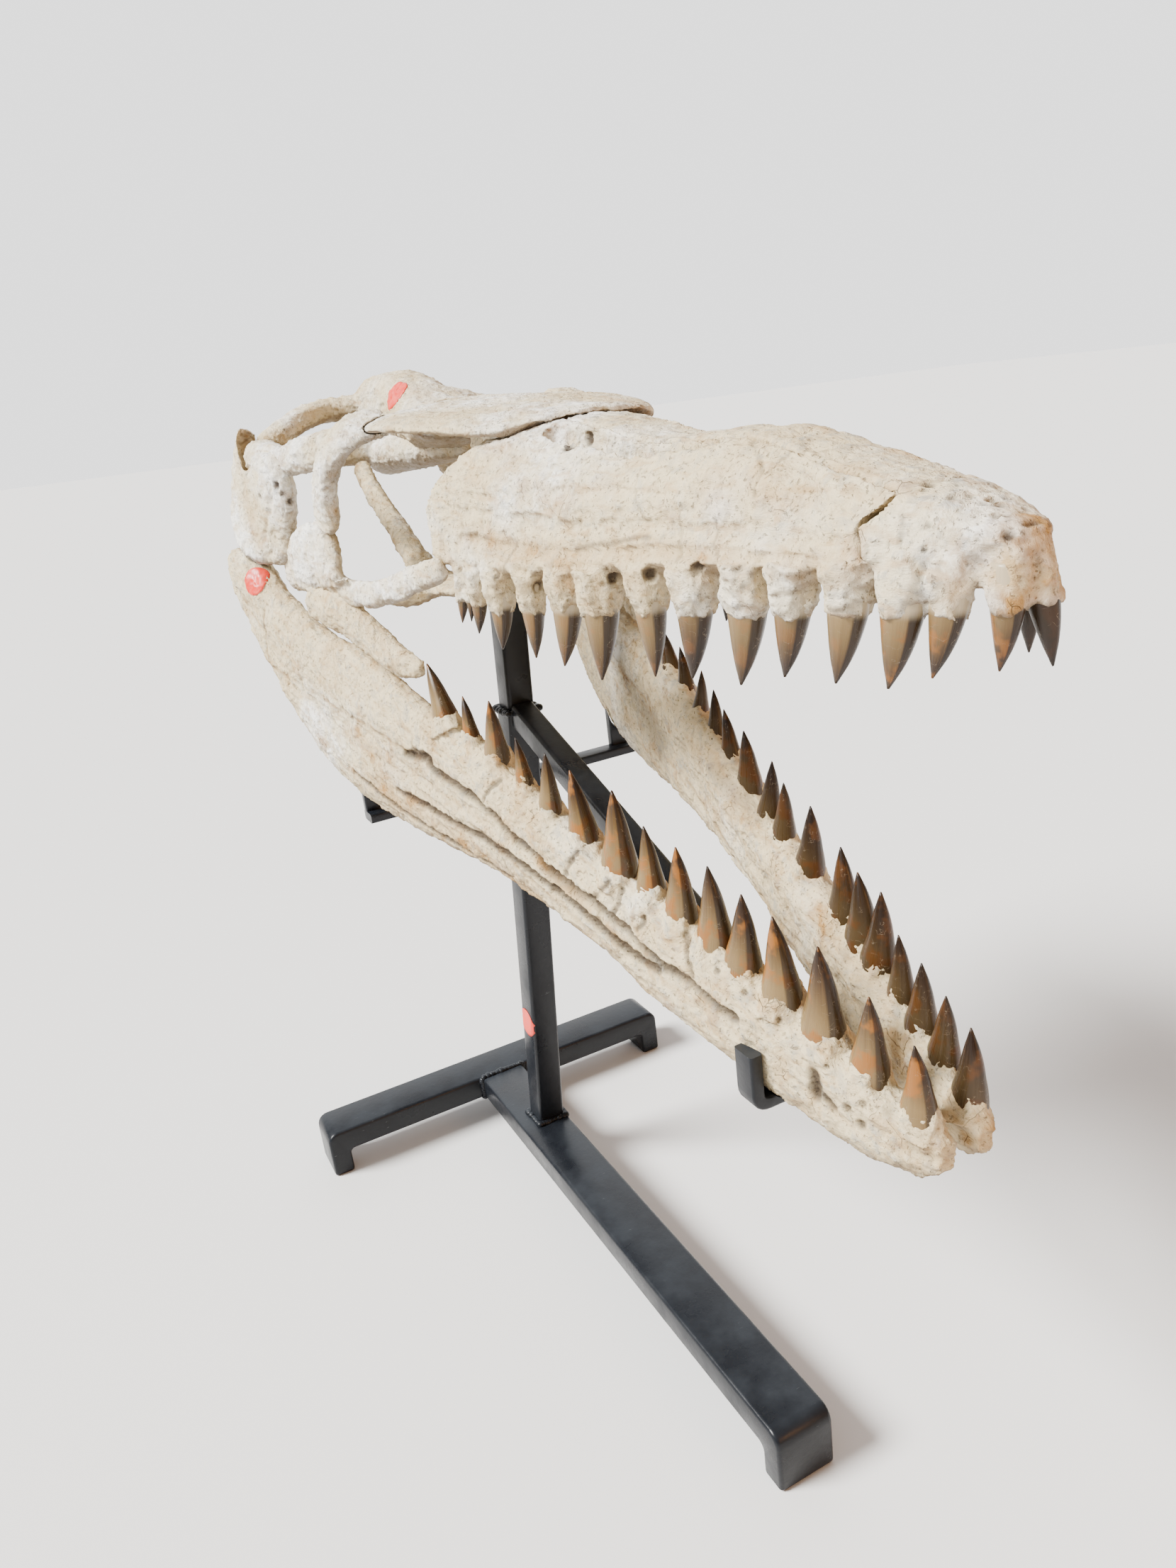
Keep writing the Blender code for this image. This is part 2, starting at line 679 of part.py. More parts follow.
def parietal(grow=0.0):
    roof = sweep("parietal", PARIETAL_ROOF, sides=12, steps=9, grow=grow)
    wings = [sweep("wing", PARIETAL_WING, side, sides=8, steps=6, grow=grow) for side in SIDES.values()]
    return join(roof, *wings, solver="MANIFOLD")


def quadrate(label, side, grow=0.0):
    return sweep(f"quadrate_{label}", QUADRATE_PLATE, side, 12, 8, up=(0, 1, 0), grow=grow)


def squamosal(label, side, grow=0.0):
    return sweep(f"squamosal_{label}", SQUAMOSAL_ARCH, side, 10, 6, grow=grow)


def postorbital(label, side, grow=0.0):
    bar = sweep(f"postorbital_{label}", POSTORBITAL_BAR, side, 10, 8, up=(0, 1, 1), grow=grow)
    arch = sweep("arch", POSTORBITAL_ARCH, side, 8, 5, grow=grow)
    return join(bar, arch, solver="MANIFOLD")


def jugal(label, side, grow=0.0):
    plate = sweep(f"jugal_{label}", JUGAL_PLATE, side, 10, 6, up=(0, 1, 0), grow=grow)
    lobe = sweep("lobe", JUGAL_REAR_LOBE, side, 8, 5, grow=grow)
    bar = sweep("bar", JUGAL_BAR, side, 8, 8, grow=grow)
    return join(plate, lobe, bar, solver="MANIFOLD")


def pterygoid(label, side, grow=0.0):
    plate = sweep(f"pterygoid_{label}", PTERYGOID_PLATE, side, 8, 12, grow=grow)
    wing = sweep("wing", ECTOPTERYGOID, side, 8, 4, grow=grow)
    return join(plate, wing, solver="MANIFOLD")


def braincase():
    body = sweep("braincase", BRAINCASE_BODY, sides=12, steps=8)
    arms = [sweep("arm", PAROCCIPITAL, side, sides=8, steps=5) for side in SIDES.values()]
    return join(body, *arms, solver="MANIFOLD")


def build_rear():
    """Skull roof behind the eyes, cheeks, palate and braincase, each fitted to its neighbours."""
    cut(parietal(), frontal(GAP))
    brain = cut(braincase(), parietal(GAP), solver="MANIFOLD")
    for label, side in SIDES.items():
        cut(postorbital(label, side), frontal(GAP), parietal(GAP), solver="MANIFOLD")
        cut(squamosal(label, side), postorbital(label, side, GAP), parietal(GAP), solver="MANIFOLD")
        neighbours = squamosal(label, side, GAP), jugal(label, side, GAP), parietal(GAP)
        cut(quadrate(label, side), *neighbours, solver="MANIFOLD")
        cut(brain, squamosal(label, side, GAP), quadrate(label, side, GAP), solver="MANIFOLD")
        face = solid_from_rings("face", face_rings(GAP))
        cut(jugal(label, side), postorbital(label, side, GAP), face, solver="MANIFOLD")


def build_palate():
    for label, side in SIDES.items():
        bone = pterygoid(label, side)
        face = solid_from_rings("face", face_rings(GAP))
        cut(bone, jugal(label, side, GAP), face)
        body = sweep("body", BRAINCASE_BODY, sides=12, steps=8, grow=GAP)
        arm = sweep("arm", PAROCCIPITAL, side, sides=8, steps=5, grow=GAP)
        cut(bone, body, arm)


def beam(name, start, end, width, height, bevel=0.04, side_axis=(0, 1, 0)):
    """A square tube with closed ends from start to end."""
    start, end = Vector(start), Vector(end)
    along = (end - start).normalized()
    across = Vector(side_axis) - along * along.dot(Vector(side_axis))
    across.normalize()
    deep = along.cross(across)
    rings = []
    corner = min(bevel, width / 2 - 0.01, height / 2 - 0.01)
    half_w, half_h = width / 2, height / 2
    outline = (
        (half_w, half_h - corner), (half_w - corner, half_h),
        (corner - half_w, half_h), (-half_w, half_h - corner),
        (-half_w, corner - half_h), (corner - half_w, -half_h),
        (half_w - corner, -half_h), (half_w, corner - half_h),
    )
    for centre in (start, end):
        rings.append([centre + across * a + deep * b for a, b in outline])
    return solid_from_rings(name, rings)


def build_base():
    """Floor bars and feet. The long bar butts against the cross bar, and each foot is a short block."""
    half = 0.5
    edge = BAR_EDGE_RADIUS
    box("stand_cross_bar", (-half, -CROSS_BAR_HALF_LENGTH, FOOT_HEIGHT),
        (half, CROSS_BAR_HALF_LENGTH, BAR_TOP), edge)
    box("stand_long_bar", (half + GAP, -half, FOOT_HEIGHT), (LONG_BAR_FRONT, half, BAR_TOP), edge)
    top = FOOT_HEIGHT - GAP
    box("stand_foot_front", (LONG_BAR_FRONT - FOOT_LENGTH, -half, 0.0), (LONG_BAR_FRONT, half, top), 0.05)
    for label, side in SIDES.items():
        outer = side * CROSS_BAR_HALF_LENGTH
        low_y, high_y = sorted((outer, outer - side * FOOT_LENGTH))
        box(f"stand_foot_{label}", (-half, low_y, 0.0), (half, high_y, top), 0.05)


def build_uprights():
    foot = Vector(POST_FOOT) + Vector((0, 0, GAP))
    lean = (Vector(POST_JOINT) - foot).normalized()
    post = beam("stand_post", foot - lean * 0.3, POST_JOINT, POST_WIDTH, POST_WIDTH)
    cut(post, box("floor", (-2, -3, 0), (9, 3, BAR_TOP + GAP)))
    start = Vector(POST_JOINT) + lean * JOINT_GAP
    upper = beam("stand_upper_post", start, UPPER_POST_TOP, UPPER_POST_WIDTH, UPPER_POST_WIDTH)
    cut(upper, frontal(GAP))
    arm = beam("stand_arm", POST_JOINT, ARM_FRONT, ARM_WIDTH, ARM_WIDTH)
    width = UPPER_POST_WIDTH + 2 * GAP
    cut(arm, post_room(0.3), beam("upper_room", POST_JOINT, UPPER_POST_TOP, width, width))
    ahead = FRONT_REST_X - FRONT_REST_WIDTH / 2 - GAP
    cut(arm, box("ahead", (ahead, -1, 6), (14, 1, 9)), jaw_solid(1, GAP), jaw_solid(-1, GAP))


def post_room(reach):
    """The post grown by the gap, to cut what is welded to it."""
    width = POST_WIDTH + 2 * GAP
    lean = (Vector(POST_JOINT) - Vector(POST_FOOT)).normalized()
    return beam("post_room", Vector(POST_FOOT), Vector(POST_JOINT) + lean * reach, width, width)


def build_rear_rests():
    """A flat bar to each side of the post, with a prong that stands up behind the jaw's lower edge."""
    half, thick = REAR_REST_WIDTH / 2, STRAP_THICK / 2
    low_x, high_x = REAR_REST_X - half, REAR_REST_X + half
    for label, side in SIDES.items():
        low_y, high_y = sorted((POST_JOINT[1], side * REAR_REST_REACH))
        low, high = (low_x, low_y, REAR_REST_Z - thick), (high_x, high_y, REAR_REST_Z + thick)
        rest = box(f"stand_rear_rest_{label}", low, high)
        low_y, high_y = sorted((side * (REAR_REST_REACH - REAR_PRONG_LENGTH), side * REAR_REST_REACH))
        join(rest, box("prong", (low_x, low_y, REAR_REST_Z), (low_x + STRAP_THICK, high_y, REAR_PRONG_TOP)))
        cut(rest, post_room(0.0), jaw_solid(side, GAP))


def build_front_rest():
    """A flat bar under the jaw's front end, bent up outside each half."""
    half, thick = FRONT_REST_WIDTH / 2, STRAP_THICK / 2
    low_x, high_x = FRONT_REST_X - half, FRONT_REST_X + half
    rest = box(
        "stand_front_rest", (low_x, -FRONT_PRONG_Y, FRONT_REST_Z - thick),
        (high_x, FRONT_PRONG_Y, FRONT_REST_Z + thick),
    )
    prongs = []
    for side in SIDES.values():
        low_y, high_y = sorted((side * (FRONT_PRONG_Y - STRAP_THICK), side * FRONT_PRONG_Y))
        prongs.append(box("prong", (low_x, low_y, FRONT_REST_Z), (high_x, high_y, FRONT_PRONG_TOP)))
    join(rest, *prongs)
    cut(rest, jaw_solid(1, GAP), jaw_solid(-1, GAP))


def build_stand():
    build_base()
    build_uprights()
    build_rear_rests()
    build_front_rest()


def centre_on_footprint():
    low = np.full(3, np.inf)
    high = np.full(3, -np.inf)
    for thing in bpy.data.objects:
        points = np.array([tuple(vert.co) for vert in thing.data.vertices])
        low = np.minimum(low, points.min(axis=0))
        high = np.maximum(high, points.max(axis=0))
    shift = Vector((-(low[0] + high[0]) / 2, -(low[1] + high[1]) / 2, -low[2]))
    for thing in bpy.data.objects:
        thing.data.transform(Matrix.Translation(shift))


def paint():
    """Each node gets its own material."""
    for thing in bpy.data.objects:
        steel = thing.name.startswith("stand_")
        colour, roughness, metallic = (STEEL_COLOUR, 0.35, 0.6) if steel else (BONE_COLOUR, 0.75, 0.0)
        thing.data.materials.clear()
        thing.data.materials.append(finish_material(thing.name, colour, roughness, metallic))
        for face in thing.data.polygons:
            face.use_smooth = False


def main():
    clear_scene()
    for label, side in SIDES.items():
        build_lower_jaw(label, side)
    build_face()
    build_rear()
    build_palate()
    build_stand()
    centre_on_footprint()
    paint()


main()
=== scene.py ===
"""Looks of the fossil mosasaur skull on its black steel stand.

Every table is in bar widths, as the solids were drawn: the stand's floor bars are one bar width wide.
The bar's width and the place of the tables' origin are read from the frame. Bones are modelled as closed
solids, fused at a fine pitch, carved with their sutures, cracks and pits, and then given their relief by
Geometry Nodes. Teeth and weld beads are made by Geometry Nodes too.
"""
import math
import random

import bmesh
import bpy
import numpy as np
from mathutils import Matrix, Vector
from mathutils.bvhtree import BVHTree


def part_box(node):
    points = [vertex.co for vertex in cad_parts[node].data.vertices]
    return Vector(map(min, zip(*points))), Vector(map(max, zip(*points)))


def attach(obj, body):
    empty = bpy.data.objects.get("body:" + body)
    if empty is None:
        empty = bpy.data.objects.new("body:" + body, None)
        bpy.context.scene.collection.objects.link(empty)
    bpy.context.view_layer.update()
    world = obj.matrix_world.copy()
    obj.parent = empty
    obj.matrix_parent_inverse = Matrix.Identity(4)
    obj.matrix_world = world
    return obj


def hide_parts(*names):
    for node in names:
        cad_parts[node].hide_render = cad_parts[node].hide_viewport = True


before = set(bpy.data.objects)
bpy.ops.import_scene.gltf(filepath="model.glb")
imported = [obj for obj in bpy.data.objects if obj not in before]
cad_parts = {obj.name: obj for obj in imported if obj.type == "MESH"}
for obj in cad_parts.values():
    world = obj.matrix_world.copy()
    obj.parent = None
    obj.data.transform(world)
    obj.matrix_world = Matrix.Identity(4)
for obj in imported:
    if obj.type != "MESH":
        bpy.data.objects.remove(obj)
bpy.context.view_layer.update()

BAR_LOW, BAR_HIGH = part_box("stand_cross_bar")
BAR = BAR_HIGH.x - BAR_LOW.x
ORIGIN = Vector(((BAR_LOW.x + BAR_HIGH.x) / 2, (BAR_LOW.y + BAR_HIGH.y) / 2, 0.0))
MM = 0.001
GAP = 0.4 * MM / BAR  # clear space between neighbouring bones
VOXEL = 1.25 * MM  # pitch at which a bone's solids are fused
SIDES = {"right": -1, "left": 1}

# The photograph's camera: place in bar widths from the cross bar's middle, turn, and focal length in pixels
PHOTO_SIZE = (1659, 2212)
CAMERA_PLACE = (22.0, -7.085, 15.6)
CAMERA_HEADING = math.radians(154.7)
CAMERA_DIP = math.radians(19.2)
CAMERA_ROLL = math.radians(-6.95)
FOCAL_PIXELS = 1582.0
SENSOR = 36.0

# Stand

FOOT_HEIGHT = 0.536
BAR_TOP = 1.053
CROSS_BAR_HALF_LENGTH = 4.15
LONG_BAR_FRONT = 11.74
FOOT_LENGTH = 0.44
BAR_EDGE_RADIUS = 0.07
POST_WIDTH = 0.56
POST_FOOT = (2.62, 0.15, BAR_TOP)
POST_JOINT = (3.85, 0.27, 10.42)
JOINT_GAP = 0.022  # the two posts lean differently, so their ends keep this apart
UPPER_POST_WIDTH = 0.5
UPPER_POST_TOP = (4.55, 0.2, 15.3)
ARM_FRONT = (12.90, 0.0, 7.46)
ARM_WIDTH = 0.43
STRAP_THICK = 0.17  # flat bar of the jaw's rests
REAR_REST_X = 3.48
REAR_REST_Z = 9.00
REAR_REST_WIDTH = 0.40
REAR_REST_REACH = 2.66
REAR_PRONG_LENGTH = 0.36
REAR_PRONG_TOP = 9.80
FRONT_REST_X = 12.66
FRONT_REST_Z = 7.66
FRONT_REST_WIDTH = 0.34
FRONT_PRONG_Y = 1.16
FRONT_PRONG_TOP = 8.34

# Lower jaw: each half lies in an upright plane that leaves the midline by this rule
JAW_TIP_X = 14.95
JAW_TIP_Y = 0.25
JAW_SPREAD = 0.2
# x, lower edge, upper edge, half thickness
JAW_SECTIONS = (
    (-0.50, 13.00, 13.40, 0.10),
    (-0.10, 12.50, 13.60, 0.26),
    (0.50, 11.75, 13.50, 0.34),
    (1.40, 10.60, 12.90, 0.34),
    (2.90, 9.55, 12.30, 0.32),
    (4.30, 9.20, 12.00, 0.32),
    (6.10, 9.10, 11.34, 0.32),
    (7.60, 9.00, 10.94, 0.33),
    (8.80, 8.80, 10.42, 0.34),
    (9.90, 8.55, 9.97, 0.34),
    (11.00, 8.15, 9.63, 0.34),
    (12.10, 7.85, 9.26, 0.33),
    (13.20, 7.60, 8.88, 0.31),
    (14.00, 7.50, 8.55, 0.28),
    (14.60, 7.55, 8.32, 0.22),
    (14.95, 7.75, 8.10, 0.12),
)
# sutures that part a jaw half into its bones, each from x, z to x, z, the later ones ending on the first
JAW_SUTURES = (
    ((5.500, 12.60), (6.450, 8.60)),
    ((6.058, 10.25), (13.90, 7.40)),
    ((5.975, 10.60), (0.997, 11.50)),
    ((1.600, 13.70), (0.750, 10.60)),
)

# Snout and face: x, top, widest height, underside, half width
FACE_SECTIONS = (
    (6.20, 15.45, 13.95, 13.60, 2.00),
    (7.20, 15.48, 13.90, 13.42, 1.82),
    (8.40, 15.36, 13.90, 13.36, 1.58),
    (9.60, 15.20, 13.95, 13.44, 1.37),
    (10.80, 15.03, 14.00, 13.54, 1.18),
    (12.40, 15.07, 14.10, 13.68, 1.01),
    (13.40, 14.88, 14.15, 13.78, 0.91),
    (14.30, 14.67, 14.15, 13.84, 0.76),
    (15.00, 14.51, 14.14, 13.88, 0.57),
    (15.42, 14.35, 14.13, 13.91, 0.38),
    (15.64, 14.24, 14.12, 13.96, 0.23),
    (15.74, 14.17, 14.11, 14.04, 0.08),
)
FACE_TOP_POWER = 2.35
FACE_UNDER_POWER = 5.0
SNOUT_BAR_HALF_WIDTH = 0.40
SNOUT_BAR_FLOOR = 14.30
NOSTRIL_SLIT = (
    (8.62, 0.70, 15.30, 0.12, 0.30),
    (9.00, 0.70, 15.27, 0.17, 0.40),
    (9.70, 0.64, 15.10, 0.15, 0.50),
    (10.90, 0.58, 15.00, 0.13, 0.42),
    (12.20, 0.50, 15.06, 0.05, 0.22),
)
# front rim of the eye socket, as x and z from the cheek up to the roof
EYE_SOCKET_FRONT = (
    (6.98, 13.20),
    (6.81, 13.80),
    (6.73, 14.30),
    (6.93, 14.70),
    (7.46, 15.09),
    (8.00, 15.45),
)
# Frontal roof plate: x, top, half width, thickness, fall from the midline to the rim
FRONTAL_SECTIONS = (
    (3.60, 15.68, 1.30, 0.22, 0.10),
    (4.20, 15.72, 1.80, 0.28, 0.12),
    (5.00, 15.70, 1.95, 0.30, 0.12),
    (6.00, 15.65, 1.88, 0.30, 0.11),
    (7.00, 15.58, 1.62, 0.32, 0.10),
    (8.00, 15.48, 1.22, 0.34, 0.08),
    (8.40, 15.43, 0.80, 0.34, 0.07),
    (8.52, 15.41, 0.45, 0.30, 0.05),
)

# Swept bones: x, distance from the midline, z, half size across the run, half size deep
PARIETAL_ROOF = (
    (4.20, 0.0, 15.40, 0.95, 0.30),
    (3.30, 0.0, 15.36, 0.78, 0.42),
    (2.20, 0.0, 15.56, 0.62, 0.55),
    (1.20, 0.0, 15.72, 0.60, 0.62),
    (0.30, 0.0, 15.74, 0.68, 0.60),
    (-0.30, 0.0, 15.58, 0.60, 0.42),
)
PARIETAL_WING = (
    (0.20, 0.20, 15.80, 0.38, 0.24),
    (-0.15, 1.20, 15.80, 0.36, 0.23),
    (0.05, 2.00, 15.56, 0.34, 0.22),
    (0.35, 2.45, 15.34, 0.30, 0.20),
)
BRAINCASE_BODY = (
    (3.40, 0.0, 15.00, 0.40, 0.25),
    (2.20, 0.0, 14.98, 0.55, 0.34),
    (1.00, 0.0, 14.94, 0.65, 0.38),
    (0.20, 0.0, 14.88, 0.60, 0.38),
    (-0.30, 0.0, 14.80, 0.36, 0.31),
    (-0.62, 0.0, 14.76, 0.27, 0.26),
)
PAROCCIPITAL = (
    (0.35, 0.20, 14.98, 0.25, 0.26),
    (0.10, 1.30, 15.02, 0.19, 0.27),
    (0.18, 2.30, 15.02, 0.22, 0.28),
)
POSTORBITAL_BAR = (
    (4.55, 1.50, 15.52, 0.50, 0.17),
    (4.35, 2.00, 15.42, 0.55, 0.20),
    (4.00, 2.34, 15.02, 0.48, 0.22),
    (3.80, 2.44, 14.50, 0.44, 0.20),
    (3.72, 2.47, 13.95, 0.46, 0.17),
)
POSTORBITAL_ARCH = (
    (4.10, 2.15, 15.28, 0.24, 0.26),
    (3.10, 2.46, 15.14, 0.22, 0.30),
    (2.30, 2.58, 15.06, 0.20, 0.26),
)
SQUAMOSAL_ARCH = (
    (2.29, 2.58, 15.06, 0.21, 0.27),
    (1.60, 2.66, 15.08, 0.26, 0.32),
    (0.95, 2.68, 15.12, 0.34, 0.34),
    (0.50, 2.64, 15.08, 0.28, 0.28),
)
QUADRATE_PLATE = (
    (1.15, 2.66, 15.12, 0.75, 0.26),
    (1.20, 2.72, 14.86, 1.25, 0.32),
    (0.95, 2.78, 14.54, 1.48, 0.32),
    (0.55, 2.90, 14.12, 1.26, 0.32),
    (0.32, 3.02, 13.82, 0.90, 0.32),
    (0.16, 3.12, 13.60, 0.45, 0.26),
)
JUGAL_PLATE = (
    (3.72, 2.47, 13.96, 0.46, 0.17),
    (3.55, 2.52, 13.68, 0.62, 0.17),
    (3.42, 2.54, 13.30, 0.94, 0.17),
    (3.44, 2.53, 12.97, 0.62, 0.13),
)
JUGAL_REAR_LOBE = (
    (3.31, 2.55, 13.64, 0.145, 0.51),
    (2.65, 2.65, 13.46, 0.15, 0.56),
    (1.95, 2.72, 13.26, 0.13, 0.42),
    (1.50, 2.76, 13.10, 0.09, 0.22),
)
JUGAL_BAR = (
    (3.55, 2.51, 13.03, 0.14, 0.25),
    (4.60, 2.32, 13.00, 0.14, 0.22),
    (5.60, 2.14, 13.14, 0.13, 0.21),
    (6.50, 1.98, 13.38, 0.13, 0.21),
    (7.12, 1.86, 13.52, 0.12, 0.17),
)
PTERYGOID_PLATE = (
    (9.20, 0.80, 13.42, 0.26, 0.13),
    (7.50, 0.95, 13.22, 0.38, 0.14),
    (6.00, 1.05, 13.02, 0.45, 0.15),
    (4.60, 1.08, 12.95, 0.42, 0.16),
    (3.60, 0.98, 13.14, 0.26, 0.19),
    (2.10, 0.88, 13.80, 0.18, 0.22),
    (1.00, 0.86, 14.38, 0.17, 0.24),
    (0.45, 0.80, 14.74, 0.17, 0.20),
)
ECTOPTERYGOID = (
    (5.00, 1.20, 12.96, 0.30, 0.13),
    (5.20, 1.75, 12.92, 0.26, 0.14),
    (5.25, 2.15, 12.98, 0.24, 0.15),
)
CORONOID = (
    (2.60, 2.72, 12.72, 0.14, 0.24),
    (3.60, 2.52, 12.66, 0.18, 0.40),
    (4.60, 2.32, 12.30, 0.18, 0.34),
    (5.50, 2.14, 12.00, 0.15, 0.26),
    (6.05, 2.03, 11.96, 0.09, 0.14),
)

# Teeth, rear to front: place along the jaw, crown length and lean towards the snout
UPPER_TEETH_RIGHT = (
    (7.23, 0.46, -0.28), (7.42, 0.38, -0.10), (7.62, 0.55, -0.19), (8.14, 0.68, -0.09),
    (8.85, 0.72, -0.05), (9.62, 0.82, -0.12), (10.29, 0.92, 0.04), (11.22, 0.84, 0.06),
    (12.02, 0.82, -0.02), (12.86, 0.86, -0.05), (13.50, 0.78, -0.17), (14.16, 0.77, -0.12),
)
UPPER_TEETH_LEFT = (
    (7.20, 0.42, -0.15), (7.62, 0.47, -0.15), (8.10, 0.55, -0.10), (8.70, 0.62, -0.05),
    (9.46, 0.72, -0.08), (10.20, 0.80, -0.05), (11.22, 0.72, -0.05), (12.15, 0.64, -0.10),
    (13.04, 0.42, -0.10), (13.72, 0.44, -0.05), (14.18, 0.42, -0.05),
)
FRONT_TEETH_RIGHT = ((14.71, 0.79, -0.10), (15.11, 0.67, -0.10), (15.53, 0.62, -0.02))
FRONT_TEETH_LEFT = ((14.84, 0.42, -0.05), (15.30, 0.54, 0.15), (15.64, 0.62, 0.28))
LOWER_TEETH_RIGHT = (
    (6.44, 0.73, -0.36), (7.10, 0.45, -0.18), (7.73, 0.67, 0.15), (8.31, 0.47, -0.12), (8.87, 0.60, 0.08),
    (9.52, 0.75, -0.08), (10.21, 0.86, 0.09), (10.78, 0.68, 0.01), (11.29, 0.71, 0.10), (11.84, 0.82, 0.14),
    (12.28, 0.74, 0.17), (12.83, 0.79, 0.03), (13.41, 0.87, 0.14), (14.01, 0.76, 0.14), (14.60, 0.63, 0.09),
)
LOWER_TEETH_LEFT = (
    (6.60, 0.56, -0.20), (7.25, 0.50, -0.10), (7.87, 0.46, 0.20), (8.40, 0.50, 0.00), (8.88, 0.53, -0.09),
    (9.50, 0.63, 0.00), (10.15, 0.63, 0.20), (10.57, 0.58, 0.17), (11.29, 0.71, 0.18), (12.13, 0.72, 0.03),
    (12.56, 0.71, 0.05), (12.93, 0.76, 0.17), (13.39, 0.59, 0.05), (13.80, 0.62, 0.08), (14.22, 0.63, 0.14),
    (14.68, 0.66, 0.10),
)
TOOTH_WIDTH = 0.54  # of its length
TOOTH_FLATTENING = 0.80
TOOTH_SUNK = 0.30  # root below the bone's edge, in bar widths
UPPER_SOCKET = 0.26
LOWER_SOCKET = 0.14

FACE_VAULT = ((5.9, 0, 13.4, 1.25, 0.42), (9.0, 0, 13.38, 0.85, 0.36), (12.4, 0, 13.62, 0.48, 0.26),
              (14.2, 0, 13.80, 0.28, 0.12))
# rear edge of the premaxilla, as x and z from its top to the tooth row
PREMAXILLA_EDGE = (
    (14.05, 16.0),
    (14.10, 14.92),
    (14.42, 14.72),
    (14.66, 14.55),
    (14.56, 14.38),
    (14.40, 14.26),
    (14.46, 14.10),
    (14.47, 13.0),
)
JAW_DIP = math.radians(-19)
FOOT_BEND = 0.24  # outer radius of a floor bar's end
FOOT_INNER_BEND = 0.10
WELD_BEAD = 0.075
FLOOR_HALF = 30.0

# Marks on the bone: kind, width and depth in millimetres, and pixels of the photograph that they pass through
CHEEK_MARKS = (
    ("crack", 1.6, 0.8, ((810, 776), (836, 768), (866, 766), (892, 758), (917, 758))),
    ("crack", 1.3, 0.5, ((953, 606), (949, 660), (957, 730), (953, 792))),
    ("crack", 1.3, 0.5, ((1006, 731), (1003, 765), (1008, 792))),
    ("crack", 1.3, 0.5, ((728, 765), (718, 784), (710, 800))),
    ("groove", 5.0, 1.2, ((1100, 640), (1140, 660), (1170, 700), (1205, 712))),
    ("ridge", 6.0, 1.2, ((640, 690), (720, 684), (800, 676), (900, 672), (1000, 668))),
    ("groove", 6.0, 1.3, ((620, 716), (700, 730), (800, 742), (900, 744), (1040, 752), (1180, 768))),
    ("groove", 4.0, 1.2, ((700, 640), (800, 650), (900, 640))),
    ("groove", 4.5, 1.4, ((650, 760), (760, 782), (880, 778), (1000, 782), (1130, 790), (1230, 800))),
    ("stain", 11.0, 0.5, ((650, 760), (760, 784), (880, 780), (1000, 784), (1130, 792), (1230, 802))),
    ("crack", 1.3, 0.6, ((1060, 620), (1075, 660), (1060, 700))),
    ("crack", 1.3, 0.5, ((880, 640), (900, 670), (893, 700), (910, 735))),
    ("groove", 3.2, 0.7, ((603, 728), (650, 712), (703, 718), (728, 739))),
    ("groove", 3.2, 0.6, ((608, 742), (660, 731), (720, 730))),
    ("groove", 3.2, 0.6, ((612, 700), (660, 696), (700, 706))),
    ("groove", 3.0, 0.5, ((740, 690), (800, 700), (860, 690), (940, 700))),
    ("groove", 3.0, 0.5, ((760, 720), (830, 730), (900, 720), (1000, 728))),
    ("groove", 3.0, 0.5, ((1000, 690), (1080, 700), (1160, 735))),
    ("pit", 4.0, 2.6, ((760, 828),)),
    ("pit", 4.0, 2.6, ((867, 817),)),
    ("pit", 4.0, 2.4, ((917, 812),)),
    ("pit", 4.0, 2.4, ((985, 801),)),
    ("pit", 3.0, 1.8, ((700, 812),)),
    ("pit", 3.0, 1.6, ((1040, 800),)),
    ("pit", 2.2, 1.6, ((624, 567),)),
    ("pit", 4.5, 3.0, ((802, 628), (828, 619))),
    ("seam", 2.4, 0.6, ((642, 585), (690, 592), (730, 600), (774, 606))),
    ("ridge", 3.6, 0.7, ((824, 596), (870, 588), (931, 584))),
    ("ridge", 5.0, 0.8, ((690, 800), (760, 796), (850, 792), (950, 790), (1060, 800), (1180, 806))),
    ("stain", 14.0, 0.40, ((699, 628), (720, 640))),
    ("stain", 14.0, 0.35, ((850, 680),)),
    ("stain", 18.0, 0.40, ((1000, 690), (1060, 700))),
    ("stain", 12.0, 0.45, ((1190, 640), (1235, 670))),
    ("stain", 6.0, 0.6, ((771, 566), (800, 560), (824, 570))),
    ("stain", 8.0, 0.35, ((700, 830), (800, 826), (900, 822), (1000, 816), (1150, 820))),
)
